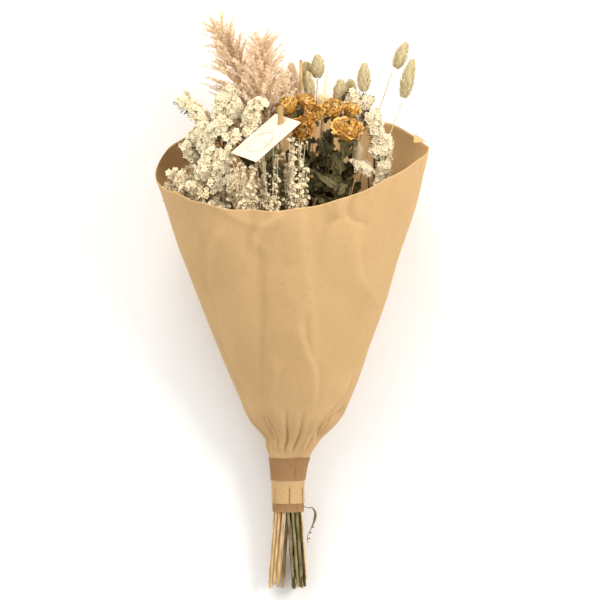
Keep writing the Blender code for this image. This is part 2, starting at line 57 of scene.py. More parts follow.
def material(name):
    made = bpy.data.materials.new(name)
    made.use_nodes = True
    tree = made.node_tree
    return made, tree, tree.nodes["Principled BSDF"]


def node(tree, kind, links=(), **values):
    """A shader node with its attributes set, then linked: links is (socket, source) pairs."""
    made = tree.nodes.new(kind)
    for key, value in values.items():
        setattr(made, key, value)
    for socket, source in links:
        tree.links.new(source, made.inputs[socket])
    return made


def arithmetic(tree, operation, *values):
    made = node(tree, "ShaderNodeMath", operation=operation)
    for socket, value in zip(made.inputs, values):
        if isinstance(value, bpy.types.NodeSocket):
            tree.links.new(value, socket)
        else:
            socket.default_value = value
    return made.outputs[0]


def ramp(tree, source, stops):
    made = tree.nodes.new("ShaderNodeValToRGB")
    while len(made.color_ramp.elements) < len(stops):
        made.color_ramp.elements.new(0.5)
    for element, (position, colour) in zip(made.color_ramp.elements, stops):
        element.position = position
        element.color = (*colour, 1)
    tree.links.new(source, made.inputs["Fac"])
    return made.outputs["Color"]


def noise_of(tree, scale, detail=4, stretch=(1, 1, 1)):
    where = node(tree, "ShaderNodeTexCoord").outputs["Object"]
    if stretch != (1, 1, 1):
        mapping = node(tree, "ShaderNodeMapping", [("Vector", where)])
        mapping.inputs["Scale"].default_value = stretch
        where = mapping.outputs["Vector"]
    made = node(tree, "ShaderNodeTexNoise", [("Vector", where)])
    made.inputs["Scale"].default_value = scale
    made.inputs["Detail"].default_value = detail
    made.inputs["Roughness"].default_value = 0.6
    return made.outputs["Fac"]


def mix(tree, share, a, b, blend="MIX"):
    made = node(tree, "ShaderNodeMix", data_type="RGBA", blend_type=blend)
    for index, value in ((0, share), (6, a), (7, b)):
        if isinstance(value, bpy.types.NodeSocket):
            tree.links.new(value, made.inputs[index])
        elif index == 0:
            made.inputs[0].default_value = value
        else:
            made.inputs[index].default_value = (*value, 1)
    return made.outputs[2]


def bumped(tree, shader, source, strength):
    made = node(tree, "ShaderNodeBump", [("Height", source)])
    made.inputs["Strength"].default_value = strength
    made.inputs["Distance"].default_value = BUMP_DEPTH
    tree.links.new(made.outputs["Normal"], shader.inputs["Normal"])


def tone(tree):
    """The shade painted on each corner of a mesh, from 0 to 1."""
    return node(tree, "ShaderNodeAttribute", attribute_name="tone").outputs["Fac"]


def plant_material(name, stops, scale=900.0, roughness=0.85, spread=0.35):
    """Colour from each part's painted tone, broken up by fine noise along the fibres."""
    made, tree, shader = material(name)
    grain = noise_of(tree, scale)
    broad = noise_of(tree, scale / 9)
    shade = arithmetic(tree, "MULTIPLY_ADD", grain, spread, tone(tree))
    shade = arithmetic(tree, "MULTIPLY_ADD", broad, spread, shade)
    shade = arithmetic(tree, "SUBTRACT", shade, spread)
    tree.links.new(ramp(tree, shade, stops), shader.inputs["Base Color"])
    rough = ramp(tree, grain, ((0.3, (roughness - 0.12,) * 3), (0.7, (min(1, roughness + 0.1),) * 3)))
    tree.links.new(rough, shader.inputs["Roughness"])
    shader.inputs["Specular IOR Level"].default_value = 0.25
    bumped(tree, shader, grain, 0.5)
    return made


def paper_material(name, dark, light, fibre=1.0, painted=True):
    """Kraft paper: fine crossing fibres, small darker specks and broad soft patches."""
    made, tree, shader = material(name)
    fine = noise_of(tree, 1500, 3, (1, 0.35, 1))
    cross = noise_of(tree, 1300, 3, (0.35, 1, 1))
    broad = noise_of(tree, 14, 4)
    speck = noise_of(tree, 420, 2)
    base = mix(tree, broad, dark, light)
    fibres = ramp(tree, mix(tree, 0.5, fine, cross), ((0.36, (0.80,) * 3), (0.62, (1.10,) * 3)))
    base = mix(tree, 0.55 * fibre, base, fibres, "MULTIPLY")
    specks = ramp(tree, speck, ((0.24, (0.52, 0.44, 0.36)), (0.31, (1, 1, 1))))
    base = mix(tree, 0.8, base, specks, "MULTIPLY")
    # On the cone and the tape the painted tone carries painted shade in folds, pleats and wrinkles and
    # painted light on their ridges; the card takes a random mottle from noise instead.
    shade_and_mottle_tone = tone(tree) if painted else noise_of(tree, 60, 3)
    painted_shade_and_mottle = ramp(tree, shade_and_mottle_tone, ((0.0, (0.60, 0.55, 0.48)), (0.5, (1, 1, 1)), (1.0, (1.16, 1.17, 1.20))))
    base = mix(tree, 0.9, base, painted_shade_and_mottle, "MULTIPLY")
    tree.links.new(base, shader.inputs["Base Color"])
    rough = ramp(tree, fine, ((0.3, (0.72,) * 3), (0.7, (0.90,) * 3)))
    tree.links.new(rough, shader.inputs["Roughness"])
    shader.inputs["Specular IOR Level"].default_value = 0.3
    bumped(tree, shader, mix(tree, 0.5, fine, noise_of(tree, 160, 4)), 0.35)
    return made


KRAFT = paper_material("kraft", (0.535, 0.335, 0.148), (0.655, 0.430, 0.205))
TAPE = paper_material("brown_tape", (0.29, 0.150, 0.060), (0.39, 0.220, 0.093), 0.8)
CARD = paper_material("cream_card", (0.83, 0.66, 0.49), (0.90, 0.745, 0.57), 0.3, False)
INK = paper_material("card_print", (0.26, 0.20, 0.14), (0.33, 0.26, 0.18), 0.3)
WOOD = plant_material("stick_wood", ((0.2, (0.36, 0.22, 0.09)), (0.8, (0.62, 0.43, 0.22))), 700, 0.7)
PLUME = plant_material("plume_hair", ((0.0, (0.60, 0.38, 0.19)), (0.45, (0.84, 0.62, 0.39)),
                                      (1.0, (1.0, 0.84, 0.62))), 1500, 0.95, spread=0.2)
STRAW = plant_material("pale_straw", ((0.1, (0.45, 0.28, 0.10)), (0.55, (0.74, 0.50, 0.24)),
                                      (1.0, (0.90, 0.68, 0.40))), 900, 0.75)
SAGE = plant_material("canary_scale", ((0.05, (0.40, 0.34, 0.15)), (0.40, (0.70, 0.59, 0.33)),
                                       (0.95, (0.95, 0.83, 0.55))), 1600, 0.9)
PETAL = plant_material("rose_petal_dry", ((0.0, (0.20, 0.052, 0.006)), (0.38, (0.52, 0.215, 0.024)),
                                          (0.70, (0.74, 0.42, 0.085)), (1.0, (0.86, 0.64, 0.29))), 1100, 0.75)
GREEN = plant_material("rose_leaf_dry", ((0.0, (0.035, 0.030, 0.012)), (0.5, (0.105, 0.090, 0.034)),
                                         (1.0, (0.29, 0.24, 0.11))), 900, 0.8)
BROWN = plant_material("statice_green", ((0.0, (0.030, 0.018, 0.005)), (0.5, (0.13, 0.088, 0.030)),
                                         (1.0, (0.30, 0.22, 0.09))), 900, 0.85)
OLIVE = plant_material("dull_stem", ((0.0, (0.10, 0.075, 0.028)), (0.5, (0.27, 0.205, 0.085)),
                                     (1.0, (0.46, 0.37, 0.18))), 900, 0.8)
CREAM = plant_material("statice_floret", ((0.0, (0.88, 0.57, 0.24)), (0.40, (1.0, 0.80, 0.48)),
                                          (1.0, (1.0, 0.90, 0.66))), 1400, 0.95, spread=0.2)
BUD = plant_material("broom_bud", ((0.0, (0.54, 0.34, 0.14)), (0.5, (0.88, 0.65, 0.36)),
                                   (1.0, (1.0, 0.86, 0.60))), 1400, 0.9, spread=0.2)


# Mesh building: each builder collects patches of points, faces and tones, and becomes one object.


class Builder:
    def __init__(self):
        self.points, self.faces, self.tones, self.count = [], [], [], 0
        self.finishes, self.finish_of_face = [], []

    def use(self, finish):
        """What is added from here on gets this material."""
        self.finishes.append(finish)
        return self

    def add(self, points, faces, tones):
        """A patch of points and faces, with one tone for all the points or one for each."""
        points = np.asarray(points, float).reshape(-1, 3)
        faces = np.asarray(faces, int)
        self.faces.append(faces + self.count)
        self.finish_of_face.append(np.full(len(faces), len(self.finishes) - 1))
        self.points.append(points)
        self.tones.append(np.broadcast_to(np.asarray(tones, float), (len(points),)))
        self.count += len(points)

    def grid(self, surface, tones, loop=False):
        """A grid of rows by columns of points, the columns joined round in a loop if asked."""
        rows, columns = surface.shape[:2]
        index = np.arange(rows * columns).reshape(rows, columns)
        right = np.roll(index, -1, 1) if loop else index[:, 1:]
        left = index if loop else index[:, :-1]
        faces = np.stack([left[:-1], right[:-1], right[1:], left[1:]], -1).reshape(-1, 4)
        self.add(surface, faces, np.broadcast_to(tones, (rows, columns)).ravel())

    def copies(self, shape, faces, origins, bases, tones):
        """Many copies of one small shape: bases holds each copy's three axes as rows, already scaled."""
        points = origins[:, None] + np.einsum("sk,nkd->nsd", shape, bases)
        step = np.arange(len(origins))[:, None, None] * len(shape)
        self.add(points, (np.asarray(faces)[None] + step).reshape(-1, len(faces[0])),
                 np.broadcast_to(tones, (len(origins), len(shape))).ravel())

    def tube(self, line, radii, sides=6, tones=0.5):
        """An open tube round a line of points."""
        line = np.asarray(line, float)
        radii = np.broadcast_to(radii, len(line))
        along = np.gradient(line, axis=0)
        along /= np.linalg.norm(along, axis=1)[:, None] + 1e-12
        side = np.cross(along, np.where(np.abs(along[:, 2:]) < 0.9, UP, [1.0, 0, 0]))
        side /= np.linalg.norm(side, axis=1)[:, None]
        up = np.cross(side, along)
        turn = np.arange(sides) * 2 * math.pi / sides
        rings = line[:, None] + radii[:, None, None] * (
            np.cos(turn)[None, :, None] * side[:, None] + np.sin(turn)[None, :, None] * up[:, None])
        tones = np.broadcast_to(np.asarray(tones, float).reshape(-1, 1), (len(line), 1))
        self.grid(rings, np.repeat(tones, sides, 1), True)

    def ribbon(self, line, half, ridge, tones):
        """A strip two faces wide, with its middle line raised by ridge."""
        self.grid(np.stack([line - half, line + ridge, line + half], 1), np.array([tones]))

    def done(self, name, slot, replaced=()):
        """The object of all that was added, on the one body, with the solids it stands for hidden; slot is
        not used.
        """
        mesh = bpy.data.meshes.new(name)
        points = np.concatenate(self.points)
        mesh.from_pydata(points.tolist(), [], [face for group in self.faces for face in group.tolist()])
        tones = mesh.attributes.new("tone", "FLOAT", "POINT")
        tones.data.foreach_set("value", np.concatenate(self.tones).astype(np.float32))
        mesh.polygons.foreach_set("use_smooth", np.ones(len(mesh.polygons), bool))
        for finish in self.finishes:
            mesh.materials.append(finish)
        mesh.polygons.foreach_set("material_index", np.concatenate(self.finish_of_face).astype(np.int32))
        piece = bpy.data.objects.new(name, mesh)
        bpy.context.scene.collection.objects.link(piece)
        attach(piece, "root")
        if replaced:
            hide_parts(*replaced)
        return piece


def unit(v):
    v = np.asarray(v, float)
    return v / (np.linalg.norm(v, axis=-1, keepdims=True) + 1e-12)


def spread_directions(axes):
    """Two unit vectors square to each of the given unit vectors."""
    side = unit(np.cross(axes, np.where(np.abs(axes[..., 2:]) < 0.9, UP, np.array([1.0, 0, 0]))))
    return side, np.cross(axes, side)


def hermite(t, width, start, end, start_slope, end_slope):
    return ((2 * t**3 - 3 * t**2 + 1) * start + (t**3 - 2 * t**2 + t) * width * start_slope
            + (3 * t**2 - 2 * t**3) * end + (t**3 - t**2) * width * end_slope)


def smooth(points, count):
    """Points spaced evenly along a rounded curve through the given ones."""
    points = np.asarray(points, float)
    at = np.r_[0, np.cumsum(np.linalg.norm(np.diff(points, axis=0), axis=1))]
    slopes = np.gradient(points, at, axis=0)
    where = np.linspace(0, at[-1], count)
    cell = np.clip(np.searchsorted(at, where, side="right") - 1, 0, len(at) - 2)
    width = (at[cell + 1] - at[cell])[:, None]
    t = (where - at[cell])[:, None] / width
    return hermite(t, width, points[cell], points[cell + 1], slopes[cell], slopes[cell + 1])


def wobble(points, size, amount):
    """Three-way noise at each point, for irregular natural shapes."""
    out = np.empty_like(points)
    for i, p in enumerate(points.reshape(-1, 3)):
        q = Vector(p / size)
        out.reshape(-1, 3)[i] = (noise(q), noise(q + Vector((31.7, 0, 0))), noise(q + Vector((0, 47.3, 0))))
    return out * amount


def points_of(name):
    """The points of a CAD solid."""
    mesh = nodes[name].data
    flat = np.empty(len(mesh.vertices) * 3, np.float32)
    mesh.vertices.foreach_get("co", flat)
    return flat.reshape(-1, 3).astype(float)


def middle_line(name, step=0.004):
    """A long piece's middle line and half thickness, found from slices square to Y through its surface."""
    mesh = nodes[name].data
    points = points_of(name)
    mesh.calc_loop_triangles()
    tri = np.empty(len(mesh.loop_triangles) * 3, np.int32)
    mesh.loop_triangles.foreach_get("vertices", tri)
    tri = tri.reshape(-1, 3)
    low, high = points[:, 1].min(), points[:, 1].max()
    places = np.linspace(low + 3e-4, high - 3e-4, max(5, int((high - low) / step)))
    line, radii = [], []
    for y in places:
        cuts = []
        for a, b in ((0, 1), (1, 2), (2, 0)):
            p, q = points[tri[:, a]], points[tri[:, b]]
            across = (p[:, 1] - y) * (q[:, 1] - y) < 0
            if across.any():
                t = ((y - p[across, 1]) / (q[across, 1] - p[across, 1]))[:, None]
                cuts.append(p[across] + (q[across] - p[across]) * t)
        if cuts:
            cut = np.concatenate(cuts)
            centre = (cut.min(0) + cut.max(0)) / 2
            line.append(centre)
            radii.append(np.median(np.linalg.norm((cut - centre)[:, [0, 2]], axis=1)))
    return np.array(line), np.array(radii)


# The paper. Its sections and its mouth's edge repeat the part's own values, which SHIFT moves into the frame.

COLLAR_Y = -0.2045
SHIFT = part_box("kraft_paper_wrap")[0][1] - COLLAR_Y
TIE_Y, TIE_X, TIE_Z = -0.167, -0.0042, 0.0365  # the middle of the neck
RISE = 0.187  # how fast the bunch's middle line rises along Y
TAPE_Y, BINDING_Y = (-0.1805, -0.1575), (-0.2135, -0.1885)
TAPE_THICKNESS = 0.0003
BINDING_RADIUS = 0.0154
# Each section: y, the middle's x, half width, height above the middle line and depth below it.
SECTIONS = (
    (-0.2045, -0.0042, 0.0168, 0.0168, 0.0168), (-0.1805, -0.0042, 0.0172, 0.0171, 0.0171),
    (-0.1575, -0.0028, 0.0205, 0.0190, 0.0185), (-0.147, -0.0015, 0.0240, 0.0215, 0.0205),
    (-0.137, 0.0015, 0.0285, 0.0250, 0.0235), (-0.131, 0.0025, 0.0340, 0.0285, 0.0265),
    (-0.121, 0.0030, 0.0435, 0.0345, 0.0320), (-0.094, 0.0042, 0.0570, 0.0440, 0.0400),
    (-0.040, 0.0027, 0.0777, 0.0600, 0.0540), (0.013, 0.0000, 0.0977, 0.0740, 0.0690),
    (0.049, -0.0018, 0.1100, 0.0820, 0.0790), (0.110, -0.0020, 0.1280, 0.0880, 0.0940),
    (0.127, -0.0030, 0.1324, 0.0885, 0.0970), (0.155, 0.0030, 0.1325, 0.0890, 0.1020),
    (0.200, 0.0040, 0.1250, 0.0900, 0.1080),
)
# The mouth's edge: degrees round the paper, y.
RIM = ((0, 0.155), (35, 0.129), (65, 0.101), (90, 0.0918), (115, 0.090), (145, 0.106), (180, 0.127),
       (198, 0.158), (215, 0.170), (270, 0.199), (325, 0.178), (343, 0.164), (360, 0.155))
PAPER = 0.0005
STRAIGHT_SHARE, STRAIGHT_TO = 0.72, 0.02  # of the paper's rows, and the y up to which they are square to Y
UNDER_TAPE = (-0.183, -0.1555)  # the y between which the paper lies plain, held by the tape
# Folds on the upper side: ends as x, y, then width to the left and right of the fold and its height.
FOLDS = (
    (0.014, 0.088, 0.020, -0.100, 0.040, 0.018, 0.0060),
    (-0.036, 0.084, -0.026, -0.100, 0.018, 0.030, -0.0040),
    (0.052, 0.108, 0.054, 0.080, 0.010, 0.003, 0.0020),
    (0.034, 0.076, 0.076, 0.083, 0.004, 0.009, -0.0016),
    (-0.036, 0.056, -0.015, 0.090, 0.014, 0.005, 0.0020),
    (0.013, -0.020, 0.020, -0.092, 0.012, 0.004, 0.0026),
    (-0.094, 0.020, -0.050, -0.095, 0.018, 0.012, -0.0034),
    (0.050, -0.080, 0.010, -0.148, 0.014, 0.0025, 0.0050),
    (0.048, -0.106, 0.026, -0.138, 0.003, 0.004, -0.0040),
    (-0.100, 0.100, -0.030, 0.078, 0.006, 0.010, 0.0015),
    (-0.020, -0.060, -0.012, -0.120, 0.010, 0.006, 0.0014),
    (-0.030, -0.118, -0.012, -0.150, 0.004, 0.006, -0.0022),
    (0.060, 0.060, 0.080, 0.000, 0.010, 0.006, 0.0014),
    (-0.070, 0.070, -0.086, 0.020, 0.006, 0.010, 0.0012),
    (0.000, 0.030, 0.004, -0.010, 0.012, 0.012, 0.0010),
)
# Degrees round the neck.
PLEATS = (8, 31, 52, 66, 83, 104, 121, 140, 163, 187, 205, 226, 251, 274, 297, 318, 341)


def through(xs, values, at):
    """A smooth curve through the given values, read at the given places."""
    xs, values = np.asarray(xs, float), np.asarray(values, float)
    slopes = np.gradient(values, xs)
    cell = np.clip(np.searchsorted(xs, at, side="right") - 1, 0, len(xs) - 2)
    width = xs[cell + 1] - xs[cell]
    t = np.clip((at - xs[cell]) / width, 0, 1)
    return hermite(t, width, values[cell], values[cell + 1], slopes[cell], slopes[cell + 1])


def wrap_section(y, angle):
    """Points on the plain cone at the given y and angles round it."""
    places, *sizes = zip(*SECTIONS)
    x_middle, half_width, above, below = (through(places, s, y) for s in sizes)
    height = TIE_Z + RISE * (y - TIE_Y)
    x = x_middle + half_width * np.cos(angle)
    z = height + np.where(np.sin(angle) > 0, above, below) * np.sin(angle)
    return np.stack([x, y + SHIFT, np.maximum(z, 0)], axis=-1)


def ramped(value, low, high):
    """0 up to low, 1 from high, with an eased rise between."""
    t = np.clip((value - low) / (high - low), 0, 1)
    return t * t * (3 - 2 * t)


def paper_relief(surface, y, angle):
    """How far the paper stands out from its plain cone, from its gathers, folds and crumples."""
    relief = np.zeros(y.shape)
    turn = np.degrees(angle)
    gather = ramped(y, -0.1575, -0.143) * (1 - ramped(y, -0.138, -0.100))
    collar = 1 - ramped(y, -0.190, -0.183)
    radius = np.linalg.norm(surface[..., [0, 2]] - np.array([TIE_X, TIE_Z]), axis=-1)
    for i, at in enumerate(PLEATS):
        drift = (y + 0.157) * 160 * math.sin(i * 2.4)
        off = np.radians((turn - at - drift + 180) % 360 - 180) * radius
        depth = 0.6 + 0.4 * math.sin(i * 1.7)
        relief -= gather * 0.0034 * depth * np.exp(-np.abs(off / 0.0016) ** 1.4)
        relief += gather * 0.0016 * depth * np.exp(-((off - 0.0045) / 0.0035) ** 2)
        if i % 3 == 1:
            relief -= collar * 0.0012 * np.exp(-np.abs(off / 0.0009) ** 1.5)
    top = ramped(np.sin(angle), 0.0, 0.3)
    for x0, y0, x1, y1, left, right, height in FOLDS:
        start, way = np.array([x0, y0]), np.array([x1 - x0, y1 - y0])
        length = np.linalg.norm(way)
        place = np.stack([surface[..., 0], y], -1) - start
        share = place @ way / length**2
        side = (place[..., 0] * way[1] - place[..., 1] * way[0]) / length
        side = side - 0.004 * np.sin(share * 5 + x0 * 90)
        width = np.where(side < 0, right, left)
        fade = ramped(share, -0.25, 0.15) * (1 - ramped(share, 0.85, 1.25))
        relief += top * height * fade * np.exp(-np.abs(side / width) ** 1.3)
    free = ramped(y, -0.155, -0.12)
    flat = surface[..., 2] < 0.002
    for i, j in np.ndindex(y.shape):
        p = Vector(surface[i, j])
        facet = abs(noise(Vector((p.x * 16 + p.y * 5, p.y * 7, p.z * 16)) + Vector((3, 1, 2))))
        soft = noise(p * 12)
        tiny = 0.5 - abs(noise(p * 60))
        relief[i, j] += free[i, j] * (0.0024 * soft + 0.0016 * facet + 0.00022 * tiny)
        relief[i, j] += (1 - free[i, j]) * collar[i, j] * 0.0004 * noise(p * 300)
    relief *= np.where((y > UNDER_TAPE[0]) & (y < UNDER_TAPE[1]), 0.0, 1.0)
    return np.where(flat, np.minimum(relief, 0) * 0.2, relief)


def kraft_wrap():
    """The paper cone as one closed sheet, with a corner turned in at its mouth."""
    rows, columns = 190, 230
    angle = np.arange(columns) * 2 * math.pi / columns
    edge = through(*zip(*((math.radians(a), y) for a, y in RIM)), angle)
    edge = edge + 0.0009 * np.sin(angle * 7) + 0.0006 * np.sin(angle * 17 + 1)
    share = np.linspace(0, 1, rows)[:, None]
    y = np.where(share < STRAIGHT_SHARE, COLLAR_Y + (STRAIGHT_TO - COLLAR_Y) * share / STRAIGHT_SHARE,
                 STRAIGHT_TO + (edge[None] - STRAIGHT_TO) * (share - STRAIGHT_SHARE) / (1 - STRAIGHT_SHARE))
    angles = np.broadcast_to(angle, y.shape)
    surface = wrap_section(y, angles)
    normal = unit(np.cross(np.gradient(surface, axis=0), np.roll(surface, -1, 1) - np.roll(surface, 1, 1)))
    relief = paper_relief(surface, y, angles)
    outer = surface + normal * relief[..., None]
    outer[..., 2] = np.maximum(outer[..., 2], 0.0001)
    inner = outer - normal * PAPER
    inner[..., 2] = np.maximum(inner[..., 2], 0.0003)
    # Painted shade in the hollows of the folds and pleats and painted light on their ridges, from the
    # relief's bend; the mouth's very edge is a little lighter.
    bent = np.gradient(np.gradient(relief, axis=1), axis=1) / 0.0004
    painted_shade_and_mottle = np.clip(0.5 + 0.25 * np.clip(-bent, -0.6, 0.8) + 0.08 * (share > 0.995), 0, 1)
    built = Builder().use(KRAFT)
    loop = np.concatenate([outer, inner[::-1], outer[:1]])
    # The inner face gets a lighter tone than the outer: painted light inside the cone.
    tones = np.concatenate([painted_shade_and_mottle, np.full_like(painted_shade_and_mottle, 0.85), painted_shade_and_mottle[:1]])
    built.grid(loop, tones, True)
    # A corner of the sheet turned in at the right of the mouth.
    corner = wrap_section(np.array([0.161]), np.array([math.radians(352)]))[0]
    ends = np.array([[0.0005, 0.0, 0.001], [-0.012, 0.0085, 0.002], [-0.013, -0.001, 0.008]]) + corner
    flap = []
    steps = np.linspace(0, 1, 9)
    for u in steps:
        base, tip = ends[0] + (ends[1] - ends[0]) * u, ends[0] + (ends[2] - ends[0]) * u
        row = base + (tip - base) * steps[:, None]
        row[:, 2] += 0.0015 * math.sin(u * 3)
        flap.append(row)
    flap = np.array(flap)
    built.grid(flap, 0.48)
    built.grid(flap[:, ::-1] - np.array([0, 0, 0.0004]), 0.6)
    built.done("paper_cone", "kraft_paper", ["kraft_paper_wrap"])


def tape_round(name, replaced, span, turns, ring_of):
    """A strip of tape with its loose end lapped over, finely wrinkled across."""
    columns, rows = 260, 16
    angle = np.linspace(0.2, 0.2 + 2 * math.pi * turns, columns)
    share = np.linspace(0, 1, rows)
    slope = 0.0010 * (angle - angle[0]) / (2 * math.pi)
    y = span[0] + (span[1] - span[0]) * share[:, None] + slope[None] * (1 - 2 * share[:, None]) * 0.4
    ring = ring_of(y, np.broadcast_to(angle, y.shape))
    centre = np.stack([np.full_like(y, TIE_X), ring[..., 1], TIE_Z + RISE * (y - TIE_Y)], -1)
    outward = unit((ring - centre) * np.array([1, 0, 1]))
    lap = 0.00035 * ramped(angle, 2 * math.pi, 2 * math.pi + 0.25)[None]
    wrinkles = np.zeros(y.shape)
    for i, j in np.ndindex(y.shape):
        p = Vector((ring[i, j, 0] * 500, ring[i, j, 1] * 170, ring[i, j, 2] * 500))
        wrinkles[i, j] = 0.00022 * noise(p) + 0.0005 * max(0.0, 0.25 - abs(noise(p * 0.35)))
    outer = ring + outward * (TAPE_THICKNESS + lap + wrinkles + 0.0004)[..., None]
    inner = outer - outward * TAPE_THICKNESS
    built = Builder().use(TAPE)
    # Painted light and shade: raised wrinkles are lighter and sunken ones darker; a band along the edge
    # towards the cut stems is lighter too.
    shade = np.clip(0.5 + wrinkles * 900 + 0.25 * (share[:, None] < 0.10), 0, 1)
    built.grid(outer, shade)
    built.grid(inner[:, ::-1], 0.3)
    built.grid(np.stack([outer[0], inner[0]]), 0.6)
    built.grid(np.stack([inner[-1], outer[-1]]), 0.6)
    built.grid(np.stack([inner[:, -1], outer[:, -1]]), 0.7)
    built.done(name, "paper_tape", replaced)


def stem_round(y, angle):
    """Points round the bare stems, where the binding holds them."""
    x = TIE_X + BINDING_RADIUS * np.cos(angle)
    z = TIE_Z + RISE * (y - TIE_Y) + BINDING_RADIUS * np.sin(angle)
    return np.stack([x, y + SHIFT, z], -1)


# Stems and ears.

STEM_RADIUS = 0.0021  # the thickest that a plant's stem is


def stalk(built, name, top=None, sides=8, nodes_every=0.0, thin=1.0):
    """A stem along its CAD middle line, up to a y, with faint bends and cut square."""
    line, radii = middle_line(name, 0.006)
    if top is not None:
        keep = line[:, 1] <= top
        line, radii = line[keep], radii[keep]
    stem = smooth(line, max(12, len(line) * 2))
    width = np.interp(np.linspace(0, 1, len(stem)), np.linspace(0, 1, len(radii)), radii)
    width = np.minimum(width, STEM_RADIUS) * thin
    width = width * (1 - 0.5 * ramped(stem[:, 1], 0.08, 0.16) * (thin < 0.85))
    stem[2:-2] += wobble(stem[2:-2], 0.02, 0.0005)
    stem[0, 1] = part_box(name)[0][1]
    y = stem[:, 1]
    ribs = 1 + 0.10 * np.sin(y * 900 + stem[0, 0] * 5000) * (nodes_every == 0)
    if nodes_every:
        from_node = ((y / nodes_every + stem[0, 0] * 40) % 1 - 0.5) * nodes_every
        ribs = 1 + 0.35 * np.exp(-(from_node / 0.0013) ** 2)
    shade = 0.5 + 0.25 * rng.uniform(-1, 1) + 0.15 * np.sin(y * 230 + stem[0, 0] * 900)
    built.tube(stem, width * ribs, sides, np.clip(shade, 0, 1))
    built.grid(np.stack([np.repeat(stem[:1], sides, 0), ring_at(stem, width[0], sides)]), 0.75, True)
    return stem


def stem_finish(name, own):
    """The bunch's left half of cut stems is bleached straw, its right half keeps the plants' green brown."""
    line, _ = middle_line(name, 0.02)
    return STRAW if line[0, 0] < TIE_X else own


def ring_at(line, radius, sides):
    """A ring of points round the start of a line."""
    along = unit(line[1] - line[0])
    side, up = spread_directions(along)
    turn = np.arange(sides) * 2 * math.pi / sides
    return line[0] + radius * (np.outer(np.cos(turn), side) + np.outer(np.sin(turn), up))


def head_line(name):
    """The part of a grass's middle line that is its ear or plume, clearly thicker than its stem."""
    line, radii = middle_line(name, 0.0025)
    bare = radii < STEM_RADIUS * 1.35
    first = len(line) - 1
    while first > 0 and not (bare[first] and bare[first - 1] and first < len(line) - 4):
        first -= 1
    return line[first:], radii[first:]


# One scale of a grass ear: a boat-shaped husk, as two halves along a keel. Across, along, out.
SCALE = np.array([[0, 0, 0], [-0.5, 0.35, 0.10], [0, 0.45, 0.42], [0.5, 0.35, 0.10],
                  [-0.36, 0.75, 0.20], [0, 0.80, 0.46], [0.36, 0.75, 0.20], [0, 1.12, 0.40]])
SCALE_TRIS = [(0, 2, 1), (0, 3, 2), (1, 2, 5), (1, 5, 4), (2, 3, 6), (2, 6, 5), (4, 5, 7), (5, 6, 7)]
SCALE_TONES = np.array([0.25, 0.78, 0.20, 0.78, 0.86, 0.25, 0.86, 0.72])


def ear_of_scales(built, line, radius, count, length, width, tilt, shades=SCALE_TONES, awn=0.0):
    """Overlapping husks set in a spiral round an ear, each with a bristle of that length if it has one."""
    line = smooth(line, 40)
    along_all = unit(np.gradient(line, axis=0))
    share = (np.arange(count) + 0.5) / count
    spine = np.stack([np.interp(share, np.linspace(0, 1, 40), line[:, k]) for k in range(3)], -1)
    along = unit(np.stack([np.interp(share, np.linspace(0, 1, 40), along_all[:, k]) for k in range(3)], -1))
    side, up = spread_directions(along)
    turn = np.arange(count) * GOLDEN_ANGLE + rng.normal(0, 0.12, count)
    out = np.cos(turn)[:, None] * side + np.sin(turn)[:, None] * up
    profile = np.sin(math.pi * np.clip(0.06 + share * 0.86, 0, 1) ** 0.75) ** 0.6
    point = unit(along + out * (tilt * (1.25 - share))[:, None] + rng.normal(0, 0.06, (count, 3)))
    across = unit(np.cross(point, out))
    lift = np.cross(across, point)
    size = rng.uniform(0.85, 1.15, count)[:, None] * np.clip(profile, 0.45, 1)[:, None]
    bases = np.stack([across * size * width, point * size * length, lift * size * width * 0.8], 1)
    origins = spine + out * (radius * profile * 0.62)[:, None] - along * length * 0.3
    tones = np.clip(shades[None] + rng.normal(0, 0.09, (count, 1)), 0, 1)
    built.copies(SCALE, SCALE_TRIS, origins, bases, tones)
    if awn:
        base = origins + point * length * size
        tip = base + unit(point + rng.normal(0, 0.18, (count, 3))) * awn * rng.uniform(0.6, 1.2, (count, 1))
        thin = across * 0.00013
        built.add(np.stack([base - thin, base + thin, tip], 1), np.arange(count * 3).reshape(count, 3), 0.8)
    core = smooth(line, 12)
    bulk = radius * 0.72 * np.sin(math.pi * np.linspace(0.06, 0.94, 12) ** 0.8) ** 0.6
    built.tube(core, bulk, 8, 0.2)


def eared_grass(name, piece, slot, finish, wider, skip, thin, *ear, **more):
    """A grass on its pale stem: wider scales its CAD half thickness, and skip leaves out the line's start."""
    line, radii = head_line(name)
    built = Builder().use(STRAW)
    stalk(built, name, line[0, 1] + 0.002, 7, thin=thin)
    built.use(finish)
    ear_of_scales(built, line[skip:], radii.max() * wider, *ear, **more)
    built.done(piece, slot, [name])


def hairs(built, roots, ways, lengths, width, bend, tones):
    """Fine hairs as narrow two-part ribbons that bend over."""
    side, _ = spread_directions(ways)
    half = side * width
    middle = roots + ways * lengths[:, None] * 0.55
    tips = roots + unit(ways + bend) * lengths[:, None]
    strips = np.stack([roots - half, roots + half, middle + half * 0.8, middle - half * 0.8, tips], 1)
    index = np.arange(len(roots))[:, None] * 5
    tones = np.stack([tones - 0.15] * 2 + [tones] * 2 + [tones + 0.2], 1)
    tris = np.concatenate([index + np.array([corners]) for corners in ((0, 1, 2), (0, 2, 3), (3, 2, 4))])
    built.add(strips, tris, np.clip(tones, 0, 1).ravel())


